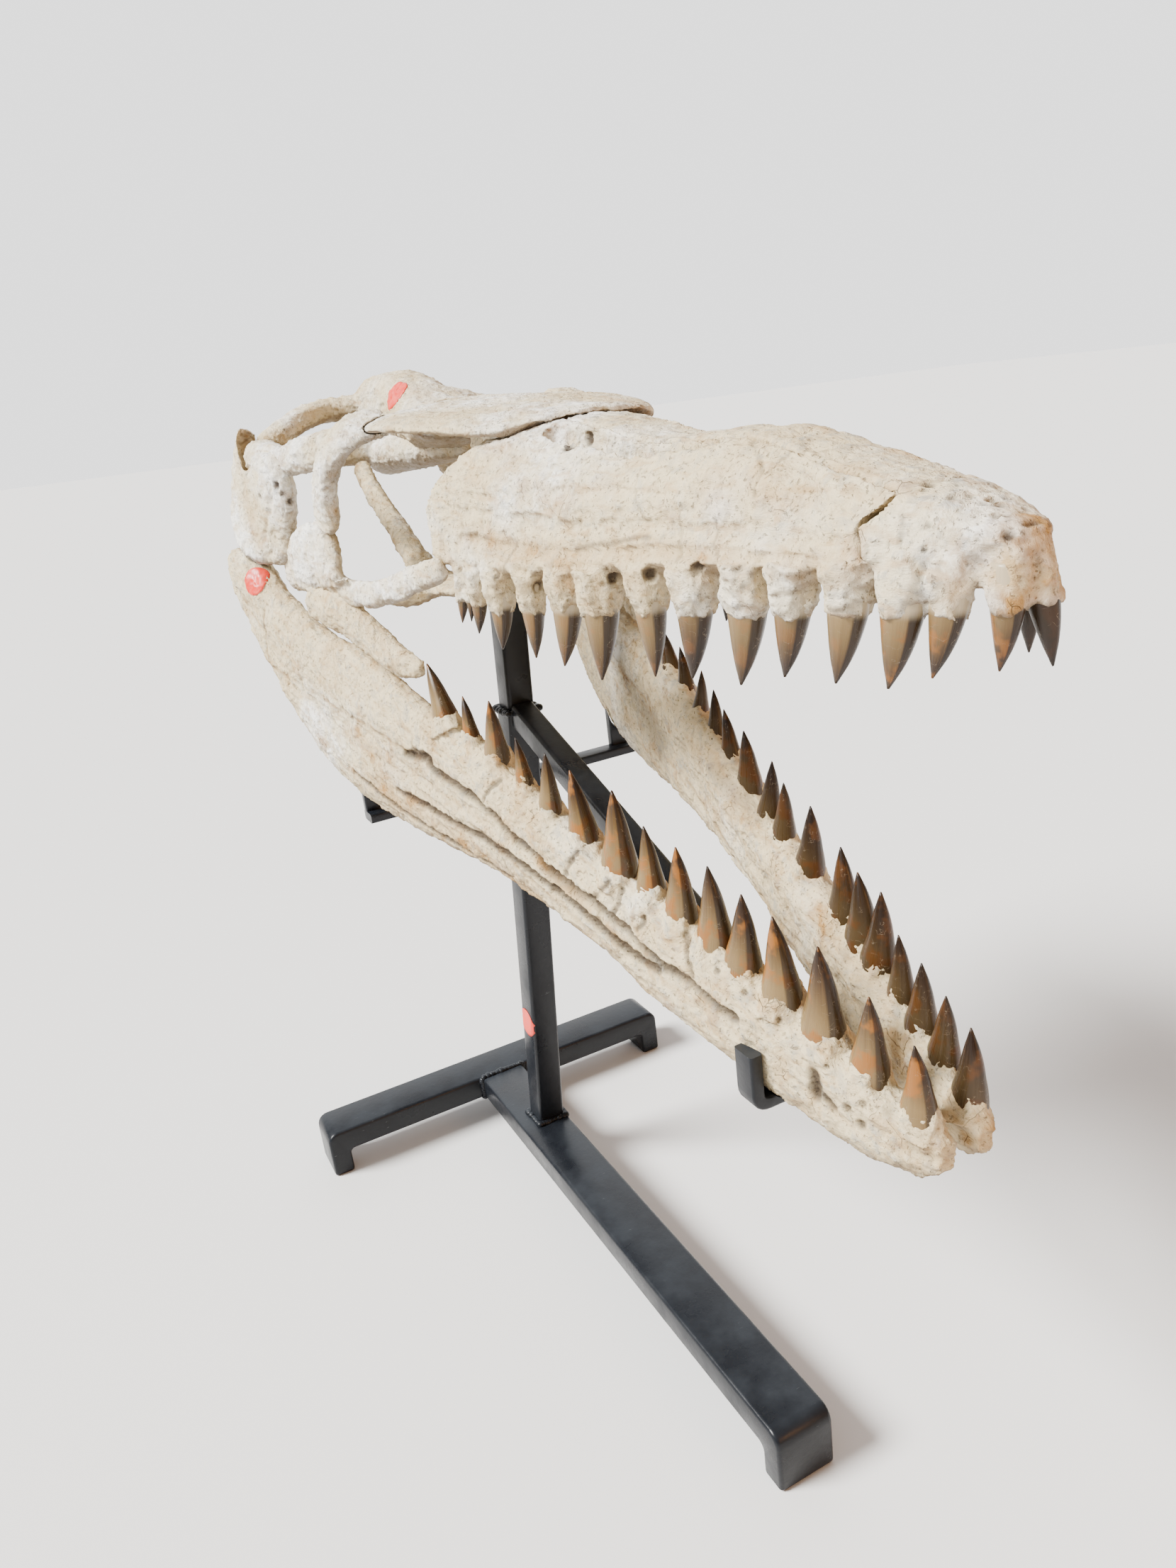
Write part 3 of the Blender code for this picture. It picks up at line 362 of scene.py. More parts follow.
SNOUT_MARKS = (
    ("pit", 2.8, 2.0, ((1309, 681),)),
    ("pit", 1.8, 1.2, ((1302, 689),)),
    ("pit", 1.8, 1.2, ((1397, 689),)),
    ("pit", 1.8, 1.2, ((1398, 701),)),
    ("pit", 1.8, 1.2, ((1419, 700),)),
    ("pit", 1.8, 1.2, ((1410, 708),)),
    ("pit", 1.8, 1.2, ((1405, 724),)),
    ("pit", 1.8, 1.2, ((1421, 724),)),
    ("pit", 3.0, 2.2, ((1422, 754),)),
    ("pit", 2.0, 1.4, ((1448, 740), (1460, 736))),
    ("pit", 1.8, 1.2, ((1342, 700),)),
    ("pit", 1.6, 1.0, ((1307, 741),)),
    ("pit", 1.6, 1.0, ((1302, 776),)),
    ("groove", 4.0, 1.4, ((1369, 796), (1397, 784), (1417, 773), (1433, 765))),
    ("crack", 1.3, 0.6, ((1260, 700), (1275, 730), (1268, 770))),
    ("crack", 1.3, 0.5, ((1330, 640), (1352, 668), (1345, 700))),
    ("groove", 3.0, 1.2, ((1400, 792), (1425, 776), (1450, 760), (1470, 752))),
    # These two broad stains at the snout's tip are mostly painted warm light, over some of the bone's own
    # tan.
    ("stain", 24.0, 1.0, ((1440, 690), (1462, 718), (1466, 752), (1460, 775))),
    ("stain", 20.0, 1.0, ((1425, 812), (1445, 835), (1472, 815))),
    ("stain", 14.0, 0.6, ((1185, 660), (1210, 690), (1225, 720))),
    ("stain", 12.0, 0.5, ((1290, 640), (1330, 655))),
    ("stain", 9.0, 0.6, ((1340, 836), (1400, 830), (1450, 826))),
)
FOREHEAD_MARKS = (
    ("groove", 3.0, 0.5, ((660, 560), (720, 556), (790, 560))),
    ("stain", 10.0, 0.35, ((640, 560), (700, 566))),
)
CROWN_MARKS = (
    ("crack", 1.5, 0.8, ((470, 560), (500, 575), (540, 570))),
    ("groove", 3.5, 0.8, ((420, 590), (470, 580), (520, 590))),
    ("stain", 10.0, 0.4, ((600, 560), (560, 545))),
)
QUADRATE_MARKS = (
    ("pit", 4.0, 2.2, ((388, 684),)),
    ("pit", 3.5, 2.0, ((410, 708),)),
    ("pit", 3.0, 1.6, ((398, 697),)),
    ("pit", 2.5, 1.4, ((366, 700),)),
    ("groove", 5.0, 1.5, ((372, 640), (380, 700), (372, 760))),
    ("stain", 12.0, 0.45, ((345, 690), (350, 730), (365, 760))),
)
EYE_BAR_MARKS = (
    # Both stains are painted shade, on the bar's inner face and under the roof of the eye socket.
    ("stain", 8.0, 0.6, ((484, 660), (474, 720), (480, 780), (497, 830))),
    ("stain", 8.0, 0.5, ((500, 640), (540, 610), (590, 605))),
    ("groove", 3.0, 0.6, ((450, 660), (445, 720), (455, 790))),
)
CHEEK_BAR_MARKS = (
    ("groove", 3.0, 0.9, ((466, 815), (472, 838))),
    # Both stains are painted shade, in the groove and on the bar's lower face.
    ("stain", 6.0, 0.7, ((466, 815), (472, 840))),
    ("stain", 6.0, 0.5, ((520, 856), (580, 850), (650, 820))),
)
JAW_MARKS = (
    ("crack", 4.2, 4.5,
     ((570, 1065), (597, 1069), (608, 1088), (639, 1108), (666, 1127), (697, 1154), (724, 1185),
                         (755, 1208), (770, 1227), (801, 1250), (835,
                                                                 1273), (862, 1300), (885, 1315), (908, 1342),
                         (932, 1365), (970, 1385), (997, 1412), (1032, 1438))),
    ("crack", 3.2, 3.0,
     ((560, 1114), (617, 1149), (674, 1180), (714, 1206), (754, 1235), (800, 1269), (846, 1309),
                         (886, 1343), (926, 1369))),
    ("crack", 2.4, 1.8, ((500, 1090), (560, 1140), (640, 1190), (720, 1240), (780, 1290))),
    ("ridge", 4.0, 1.2, ((590, 1110), (650, 1150), (710, 1190), (770, 1240), (840, 1290))),
    ("crack", 3.0, 2.4, ((582, 1060), (592, 1068), (604, 1073))),
    ("stain", 6.0, 0.9, ((755, 1215), (790, 1248), (830, 1280))),
    ("stain", 16.0, 0.55, ((520, 1100), (640, 1180), (760, 1270))),
    ("pit", 5.0, 2.5, ((1147, 1518), (1151, 1532), (1149, 1544))),
    ("pit", 4.0, 2.0, ((1162, 1548), (1174, 1560))),
    ("pit", 3.0, 1.8, ((1195, 1565),)),
    ("pit", 3.0, 1.8, ((1214, 1588),)),
    # A shade mark: painted shadow.
    ("shade", 5.0, 0.5, ((1252, 1569),)),
    ("stain", 8.0, 0.9, ((1175, 1410), (1190, 1430), (1202, 1452))),
    ("stain", 8.0, 0.9, ((1245, 1475), (1262, 1500), (1275, 1520))),
    ("crack", 1.8, 1.4, ((704, 1100), (690, 1112), (681, 1129))),
    ("crack", 1.8, 1.4, ((815, 1202), (803, 1216), (795, 1235))),
    ("crack", 1.8, 1.4, ((859, 1243), (846, 1256), (830, 1273))),
    ("crack", 1.8, 1.4, ((877, 1255), (872, 1274), (862, 1293))),
    ("crack", 1.8, 1.4, ((909, 1293), (906, 1302), (897, 1311))),
    ("crack", 1.8, 1.4, ((968, 1317), (968, 1347), (976, 1378))),
    ("groove", 3.0, 0.8, ((480, 960), (530, 1010), (590, 1045), (650, 1085))),
    ("groove", 3.0, 0.8, ((440, 930), (480, 1000), (540, 1060), (610, 1110))),
    ("groove", 3.0, 0.6, ((700, 1070), (780, 1140), (860, 1215), (940, 1290))),
    ("pit", 1.8, 1.4, ((1010, 1370),)),
    ("pit", 1.8, 1.4, ((1050, 1400),)),
    ("pit", 1.8, 1.4, ((1100, 1440),)),
    ("pit", 1.8, 1.4, ((1165, 1505),)),
    ("pit", 1.8, 1.4, ((1215, 1560),)),
    ("stain", 12.0, 0.5, ((690, 1060), (780, 1120), (870, 1190))),
    ("stain", 9.0, 0.5, ((940, 1250), (1020, 1320), (1120, 1400))),
    ("stain", 14.0, 0.4, ((500, 1040), (560, 1090))),
    ("stain", 12.0, 0.6, ((1300, 1620), (1345, 1640))),
)
INNER_JAW_MARKS = (
    ("groove", 4.0, 1.4, ((960, 1080), (1010, 1180), (1080, 1280), (1180, 1390))),
    # The shade marks paint shadow on the inner side of the left half.
    ("shade", 30.0, 0.55, ((830, 840), (865, 920), (900, 990), (930, 1050))),
    ("shade", 10.0, 0.35, ((1000, 1085), (1035, 1120), (1070, 1150))),
    ("stain", 12.0, 0.6, ((1000, 1060), (1060, 1160))),
    ("stain", 12.0, 0.5, ((1150, 1290), (1250, 1400))),
)
# red dots: the piece that each is stuck on, its middle's pixel, and half its width in millimetres
DOTS = (
    ("crown_bone", (558, 555), 10.5),
    ("jaw_right", (360, 820), 10.5),
    ("stand_post_tube", (744, 1442), 12.0),
)


def eased(at, stations, values):
    """A smooth curve through the stations that never swings past them."""
    stations = np.asarray(stations, float)
    values = np.asarray(values, float)
    step = np.diff(stations)
    slope = np.diff(values) / step
    before, after = slope[:-1], slope[1:]
    same_way = before * after > 0
    total = np.where(same_way, before + after, 1.0)
    tangent = np.concatenate([slope[:1], np.where(same_way, 2 * before * after / total, 0.0), slope[-1:]])
    i = np.clip(np.searchsorted(stations, at, side="right") - 1, 0, len(step) - 1)
    s = (at - stations[i]) / step[i]
    return (
        (2 * s**3 - 3 * s**2 + 1) * values[i]
        + (s**3 - 2 * s**2 + s) * step[i] * tangent[i]
        + (3 * s**2 - 2 * s**3) * values[i + 1]
        + (s**3 - s**2) * step[i] * tangent[i + 1]
    )


def table_at(x, table):
    """Each column of a table of sections, read at x."""
    rows = np.array(table)
    return [eased(x, rows[:, 0], rows[:, k]) for k in range(1, rows.shape[1])]


def link(name, mesh):
    thing = bpy.data.objects.new(name, mesh)
    bpy.context.scene.collection.objects.link(thing)
    return thing


def remove(thing):
    bpy.data.objects.remove(thing, do_unlink=True)


def in_frame(point):
    return ORIGIN + Vector(point) * BAR


def unit(rows):
    return rows / np.linalg.norm(rows, axis=-1, keepdims=True)


def rounded(angle, power):
    """Points on a unit squared circle."""
    c, s = np.cos(angle), np.sin(angle)
    return np.sign(c) * np.abs(c) ** (2 / power), np.sign(s) * np.abs(s) ** (2 / power)


def solid(name, rings):
    """A closed body through rings of points, in bar widths, with a fan at each end, faces outwards."""
    rings = np.asarray(rings, float)
    count, sides = rings.shape[:2]
    ends = np.stack([rings[0].mean(axis=0), rings[-1].mean(axis=0)])
    points = np.concatenate([rings.reshape(-1, 3), ends]) * BAR + np.array(ORIGIN)
    near = np.arange(sides)
    far = (near + 1) % sides
    rows = np.arange(count - 1)[:, None] * sides
    walls = np.stack([rows + near, rows + far, rows + sides + far, rows + sides + near],
                     axis=-1).reshape(-1, 4)
    last = (count - 1) * sides
    first_pole, last_pole = count * sides, count * sides + 1
    faces = walls.tolist()
    faces += [(int(b), int(a), first_pole) for a, b in zip(near, far)]
    faces += [(int(a), int(b), last_pole) for a, b in zip(last + near, last + far)]
    corners = points[walls]
    first, second, third = corners[:, 0], corners[:, 1], corners[:, 2]
    middle = points.mean(axis=0)
    outward = np.einsum("ij,ij->i", np.cross(second - first, third - first), first - middle).sum()
    if outward < 0:
        faces = [tuple(reversed(face)) for face in faces]
    mesh = bpy.data.meshes.new(name)
    mesh.from_pydata(points.tolist(), [], faces)
    return link(name, mesh)


def sweep(stations, side=1, sides=28, steps=56, power=2.3, up=(0, 0, 1), grow=0.0, rounding=0.14):
    """A bone along a smooth path; each station is x, y, z, half size across and half size deep."""
    rows = np.array(stations, float)
    run = np.concatenate([[0.0], np.cumsum(np.linalg.norm(np.diff(rows[:, :3], axis=0), axis=1))])
    at = run[-1] * (0.5 - 0.5 * np.cos(np.linspace(0, math.pi, steps)))
    read = np.stack([eased(at, run, rows[:, k]) for k in range(5)], axis=1)
    centre = read[:, :3]
    along = unit(np.gradient(centre, axis=0))
    across = unit(np.cross(along, np.array(up, float)))
    deep = np.cross(across, along)
    centre[0] -= along[0] * grow
    centre[-1] += along[-1] * grow
    from_end = np.clip(np.minimum(at, run[-1] - at) / rounding, 0, 1)
    full = 0.55 + 0.45 * np.sqrt(1 - (1 - from_end) ** 2)
    a, b = rounded(2 * math.pi * (np.arange(sides) + 0.5) / sides, power)
    wide = (read[:, 3] * full + grow)[:, None, None]
    high = (read[:, 4] * full + grow)[:, None, None]
    points = centre[:, None] + across[:, None] * a[None, :,
                                                   None] * wide + deep[:, None] * b[None, :, None] * high
    points[..., 1] *= side
    return solid("sweep", points)


def block(low, high):
    shape = bmesh.new()
    bmesh.ops.create_cube(shape, size=1.0)
    middle, size = (Vector(low) + Vector(high)) / 2, Vector(high) - Vector(low)
    for vert in shape.verts:
        vert.co = in_frame(middle + vert.co * size)
    mesh = bpy.data.meshes.new("block")
    shape.to_mesh(mesh)
    shape.free()
    return link("block", mesh)


def prism(outline, low, high, place=lambda a, b, c: (a, c, b)):
    """A flat outline drawn out from low to high; place turns outline and depth into x, y, z."""
    shape = bmesh.new()
    near = [shape.verts.new(in_frame(place(a, b, low))) for a, b in outline]
    far = [shape.verts.new(in_frame(place(a, b, high))) for a, b in outline]
    shape.faces.new(near)
    shape.faces.new(far)
    for k in range(len(outline)):
        j = (k + 1) % len(outline)
        shape.faces.new((near[k], near[j], far[j], far[k]))
    bmesh.ops.recalc_face_normals(shape, faces=shape.faces)
    mesh = bpy.data.meshes.new("prism")
    shape.to_mesh(mesh)
    shape.free()
    return link("prism", mesh)


def settle(thing):
    """Turn a piece and its live modifiers into a plain mesh."""
    graph = bpy.context.evaluated_depsgraph_get()
    mesh = bpy.data.meshes.new_from_object(thing.evaluated_get(graph), depsgraph=graph)
    thing.modifiers.clear()
    thing.data = mesh
    return thing


def trim(thing, *cutters, operation="DIFFERENCE"):
    for cutter in cutters:
        modifier = thing.modifiers.new("trim", "BOOLEAN")
        modifier.operation = operation
        modifier.object = cutter
        modifier.solver = "MANIFOLD"
        settle(thing)
        remove(cutter)
    return thing


def twin(thing):
    return link(thing.name, thing.data.copy())


def fuse(name, *parts):
    """Closed solids that overlap become one skin of even, fine faces."""
    shape = bmesh.new()
    for part in parts:
        shape.from_mesh(part.data)
        remove(part)
    mesh = bpy.data.meshes.new(name)
    shape.to_mesh(mesh)
    shape.free()
    thing = link(name, mesh)
    remesh = thing.modifiers.new("remesh", "REMESH")
    remesh.mode = "VOXEL"
    remesh.voxel_size = VOXEL
    smooth = thing.modifiers.new("smooth", "SMOOTH")
    smooth.factor = 0.5
    smooth.iterations = 2
    return settle(thing)


# The photograph's camera, also used to lay marks on a bone where the photograph shows them


def camera_axes():
    level = math.cos(CAMERA_DIP)
    ahead = Vector((math.cos(CAMERA_HEADING) * level, math.sin(CAMERA_HEADING) * level,
                    -math.sin(CAMERA_DIP)))
    right = ahead.cross(Vector((0, 0, 1))).normalized()
    above = right.cross(ahead)
    turned = right * math.cos(CAMERA_ROLL) + above * math.sin(CAMERA_ROLL)
    upright = above * math.cos(CAMERA_ROLL) - right * math.sin(CAMERA_ROLL)
    return turned, upright, ahead


def seen_at(tree, pixel):
    """The point of a surface that the photograph shows at a pixel."""
    right, above, ahead = camera_axes()
    across = (pixel[0] - PHOTO_SIZE[0] / 2) / FOCAL_PIXELS
    down = (pixel[1] - PHOTO_SIZE[1] / 2) / FOCAL_PIXELS
    place, normal, index, distance = tree.ray_cast(in_frame(CAMERA_PLACE),
                                                   ahead + right * across - above * down)
    return place, normal


def surface_tree(thing):
    mesh = thing.data
    return BVHTree.FromPolygons([v.co for v in mesh.vertices], [p.vertices for p in mesh.polygons])


def ragged(line, sway, draw, step=3.0 * MM):
    """A line of short stretches that wanders a little to each side."""
    points = [line[0]]
    for one, two in zip(line, line[1:]):
        parts = max(1, round((two - one).length / step))
        for k in range(1, parts + 1):
            point = one.lerp(two, k / parts)
            point = point + Vector([draw.uniform(-sway, sway) for axis in range(3)])
            points.append(point)
    return points


def marks_from_photo(thing, marks):
    """Marks drawn in the photograph's pixels, laid on the bone that it shows there."""
    tree = surface_tree(thing)
    laid = []
    for kind, width, depth, pixels in marks:
        hits = [seen_at(tree, pixel)[0] for pixel in pixels]
        hits = [hit for hit in hits if hit is not None]
        if hits:
            laid.append((kind, width, depth, hits))
    return laid


def mirrored(laid):
    """The same marks on the other side of the skull."""
    return [(kind, width, depth, [Vector((p.x, 2 * ORIGIN.y - p.y, p.z)) for p in line])
            for kind, width, depth, line in laid]


SEEN_MARKS = {}  # marks laid on the right side, kept for the left one


def side_marks(piece, marks, side):
    """Marks laid on the right piece as the photograph shows them, and mirrored for the left one."""
    if side < 0:
        SEEN_MARKS[marks] = marks_from_photo(piece, marks)
        return SEEN_MARKS[marks]
    return mirrored(SEEN_MARKS[marks])


def distance_to(points, line):
    best = np.full(len(points), np.inf)
    line = np.array([tuple(p) for p in line])
    if len(line) == 1:
        return np.linalg.norm(points - line[0], axis=1)
    for one, two in zip(line, line[1:]):
        run = two - one
        share = np.clip((points - one) @ run / max(run @ run, 1e-12), 0, 1)
        best = np.minimum(best, np.linalg.norm(points - one - share[:, None] * run, axis=1))
    return best


def carve(thing, laid, seed=1):
    """Cracks, pits, ridges, stains and painted shade, each from kind, width and depth in millimetres, and a
    line; some stain marks paint shade and warm light.
    """
    draw = random.Random(seed)
    mesh = thing.data
    count = len(mesh.vertices)
    points = np.empty(count * 3)
    normals = np.empty(count * 3)
    mesh.vertices.foreach_get("co", points)
    mesh.vertices.foreach_get("normal", normals)
    points, normals = points.reshape(-1, 3), normals.reshape(-1, 3)
    move = np.zeros(count)
    dark = np.zeros(count)
    stain = np.zeros(count)
    for kind, width, depth, line in laid:
        reach = width * MM
        if len(line) > 1 and kind in ("crack", "seam"):
            line = ragged(line, min(0.35 * reach, 0.0004), draw)
        ends = np.array([tuple(p) for p in line])
        near = np.all((points > ends.min(axis=0) - reach) & (points < ends.max(axis=0) + reach), axis=1)
        near = np.flatnonzero(near)
        fall = np.clip(1 - distance_to(points[near], line) / reach, 0, 1)
        soft = fall * fall * (3 - 2 * fall)
        if kind == "stain":
            stain[near] = np.maximum(stain[near], soft * depth)
            continue
        # A shade mark paints shadow: it darkens without carving.
        if kind == "shade":
            dark[near] = np.maximum(dark[near], soft * depth)
            continue
        sign = 1.0 if kind == "ridge" else -1.0
        push = sign * depth * MM * (fall if kind == "crack" else soft)
        move[near] = np.where(np.abs(push) > np.abs(move[near]), push,
                              move[near]) if sign < 0 else move[near] + push
        # Cracks and pits are darkened, more the deeper they are: painted shade in pits, and in cracks partly
        # painted shade, partly their dark filling.
        if kind in ("crack", "pit"):
            dark[near] = np.maximum(dark[near], np.clip(fall * 1.5, 0, 1) * min(1.0, 0.3 + depth / 3.0))
        if kind == "seam":
            stain[near] = np.maximum(stain[near], soft * 0.8)
            dark[near] = np.maximum(dark[near], fall * 0.45)
    points += normals * move[:, None]
    mesh.vertices.foreach_set("co", points.ravel())
    for label, values in (("dark", dark), ("stain", stain)):
        attribute = mesh.attributes.new(label, "FLOAT", "POINT")
        attribute.data.foreach_set("value", values)
    mesh.update()
    return thing


# Node trees are written with a small pen: add a node, set its inputs by name or number, hand back an output


class Pen:
    def __init__(self, tree):
        self.tree = tree

    def node(self, kind, inputs=(), **settings):
        made = self.tree.nodes.new(kind)
        for label, value in settings.items():
            setattr(made, label, value)
        for label, value in dict(inputs).items():
            if isinstance(value, bpy.types.NodeSocket):
                self.tree.links.new(value, made.inputs[label])
            else:
                made.inputs[label].default_value = value
        return made

    def math(self, operation, *values, clamp=False):
        made = self.node("ShaderNodeMath", dict(enumerate(values)), operation=operation, use_clamp=clamp)
        return made.outputs[0]

    def times(self, *values, **settings):
        return self.math("MULTIPLY", *values, **settings)

    def plus(self, *values, **settings):
        return self.math("ADD", *values, **settings)

    def minus(self, *values, **settings):
        return self.math("SUBTRACT", *values, **settings)

    def over(self, *values, **settings):
        return self.math("DIVIDE", *values, **settings)

    def stored(self, shape, label, value, kind="FLOAT"):
        """The shape with a value kept on its points."""
        inputs = {"Geometry": shape, "Name": label, "Value": value}
        return self.node("GeometryNodeStoreNamedAttribute", inputs, data_type=kind, domain="POINT").outputs[0]

    def whole(self, shape):
        return self.node("GeometryNodeRealizeInstances", {0: shape}).outputs[0]

    def painted(self, shape, finish):
        inputs = {"Geometry": self.whole(shape), "Material": finish}
        return self.node("GeometryNodeSetMaterial", inputs).outputs[0]

    def facing_up(self):
        normal = self.node("ShaderNodeNewGeometry").outputs["Normal"]
        return self.node("ShaderNodeSeparateXYZ", {0: normal}).outputs[2]

    def turned(self, vector, angle):
        inputs = {"Vector": vector, "Angle": angle}
        return self.node("ShaderNodeVectorRotate", inputs, rotation_type="Y_AXIS").outputs[0]

    def cell_edges(self, vector, scale):
        inputs = {"Vector": vector, "Scale": scale}
        return self.node("ShaderNodeTexVoronoi", inputs, feature="DISTANCE_TO_EDGE").outputs["Distance"]

    def vector(self, operation, *values):
        made = self.node("ShaderNodeVectorMath", dict(enumerate(values)), operation=operation)
        return made.outputs["Value" if operation in ("DOT_PRODUCT", "LENGTH") else "Vector"]

    def scaled(self, vector, amount):
        made = self.node("ShaderNodeVectorMath", {"Vector": vector, "Scale": amount}, operation="SCALE")
        return made.outputs["Vector"]

    def noise(self, vector, scale, detail=4.0, roughness=0.55, output=0):
        inputs = {"Vector": vector, "Scale": scale, "Detail": detail, "Roughness": roughness}
        return self.node("ShaderNodeTexNoise", inputs).outputs[output]

    def window(self, value, low, high, start=0.0, end=1.0):
        """A smooth step from start to end while the value goes from low to high."""
        inputs = {"Value": value, "From Min": low, "From Max": high, "To Min": start, "To Max": end}
        return self.node("ShaderNodeMapRange", inputs, interpolation_type="SMOOTHSTEP").outputs[0]

    def blend(self, amount, first, second):
        made = self.node("ShaderNodeMix", {0: amount, 6: first, 7: second}, data_type="RGBA")
        return made.outputs[2]

    def attribute(self, label, output="Fac"):
        return self.node("ShaderNodeAttribute", attribute_name=label).outputs[output]


LOOK_OUTPUTS = {"Color": "NodeSocketColor", "Height": "NodeSocketFloat", "Roughness": "NodeSocketFloat"}
SHAPE_OUTPUTS = {"Geometry": "NodeSocketGeometry"}


def new_tree(name, kind, inputs, outputs):
    """A node group with named sockets: an input gives its first value, or else its socket's type."""
    tree = bpy.data.node_groups.new(name, kind)
    for label, value in inputs.items():
        plain = {float: "NodeSocketFloat", int: "NodeSocketInt"}.get(type(value))
        made = tree.interface.new_socket(name=label, in_out="INPUT", socket_type=plain or value)
        if plain:
            made.default_value = value
    for label, socket in outputs.items():
        tree.interface.new_socket(name=label, in_out="OUTPUT", socket_type=socket)
    pen = Pen(tree)
    source = tree.nodes.new("NodeGroupInput")
    sink = tree.nodes.new("NodeGroupOutput")
    return tree, pen, source, sink


def ended(tree, sink, *results):
    """The tree with its results linked to its outputs, in order."""
    for number, result in enumerate(results):
        tree.links.new(result, sink.inputs[number])
    return tree


def grow_with(thing, tree, **values):
    """Run a Geometry Nodes tree on a piece with its inputs set, and keep the plain mesh."""
    modifier = thing.modifiers.new(tree.name, "NODES")
    modifier.node_group = tree
    wanted = {label.replace("_", " "): value for label, value in values.items()}
    for item in tree.interface.items_tree:
        if item.in_out == "INPUT" and item.name.lower() in wanted:
            modifier[item.identifier] = wanted[item.name.lower()]
    return settle(thing)


def bone_relief_tree():
    """Lumps, fibres and fine cracks pressed into a bone along its own faces, and kept for the colour."""
    tree, pen, source, sink = new_tree(
        "bone relief", "GeometryNodeTree",
        {"Geometry": "NodeSocketGeometry", "Lump size": 0.03, "Lump height": 0.0008, "Fibre length": 0.03,
         "Fibre width": 0.003, "Fibre height": 0.0004, "Fibre dip": 0.0, "Crack size": 0.03,
         "Crack width": 0.03, "Crack depth": 0.0005, "Pitting": 0.0003, "Flake depth": 0.0003, "Seed": 0.0,
         "Finish": "NodeSocketMaterial"},
        SHAPE_OUTPUTS,
    )
    given = source.outputs
    place = pen.node("GeometryNodeInputPosition").outputs[0]
    normal = pen.node("GeometryNodeInputNormal").outputs[0]
    shifted = pen.vector("ADD", place, pen.node("ShaderNodeCombineXYZ", {0: given["Seed"]}).outputs[0])
    lump_scale = pen.over(1.0, given["Lump size"])
    lumps = pen.minus(pen.noise(shifted, lump_scale, 3.0, 0.5), 0.5)
    wander = pen.vector("SUBTRACT", pen.noise(shifted, 45.0, 2.0, 0.5, "Color"), (0.5, 0.5, 0.5))
    loose = pen.vector("ADD", shifted, pen.scaled(wander, 0.012))
    turned = pen.turned(loose, given["Fibre dip"])
    stretch = pen.node(
        "ShaderNodeCombineXYZ",
        {0: pen.over(1.0, given["Fibre length"]), 1: pen.over(1.0, given["Fibre width"]),
         2: pen.over(1.0, given["Fibre width"])},
    ).outputs[0]
    fibres = pen.minus(pen.noise(pen.vector("MULTIPLY", turned, stretch), 1.0, 4.0, 0.6), 0.5)
    folds = pen.minus(0.35, pen.math("ABSOLUTE", pen.times(fibres, 3.0)), clamp=True)
    patches = pen.window(pen.noise(shifted, 22.0, 2.0, 0.5), 0.50, 0.66)
    chips = pen.noise(loose, 70.0, 5.0, 0.6)
    flakes = pen.plus(pen.window(chips, 0.47, 0.50), pen.window(chips, 0.60, 0.63))
    cells = pen.cell_edges(loose, pen.over(1.0, given["Crack size"]))
    cracks = pen.minus(1.0, pen.over(cells, given["Crack width"]), clamp=True)
    cracks = pen.times(cracks, patches)
    grit = pen.window(pen.noise(loose, 420.0, 2.0, 0.6), 0.62, 0.78)
    push = pen.times(lumps, pen.times(given["Lump height"], 2.0))
    fibre_push = pen.times(fibres, pen.times(given["Fibre height"], 2.0))
    push = pen.plus(push, fibre_push)
    push = pen.minus(push, pen.times(folds, given["Fibre height"]))
    push = pen.minus(push, pen.times(flakes, given["Flake depth"]))
    push = pen.minus(push, pen.times(cracks, given["Crack depth"]))
    push = pen.minus(push, pen.times(grit, given["Pitting"]))
    moved = pen.node(
        "GeometryNodeSetPosition", {"Geometry": given["Geometry"], "Offset": pen.scaled(normal, push)}
    ).outputs[0]
    for label, value in (("cracks", cracks), ("fibres", fibres), ("grit", grit), ("flaw", flakes)):
        moved = pen.stored(moved, label, value)
    tree.links.new(pen.painted(moved, given["Finish"]), sink.inputs[0])
    return tree


# a crown's half width up its length; its curve holds no value above one, so each but the tip's is scaled down
PROFILE_SCALE = 1.1
TOOTH_PROFILE = ((0.0, 0.98), (0.16, 1.03), (0.27, 1.03), (0.49, 0.87), (0.76, 0.53), (0.91, 0.24),
                 (1.0, 0.05))


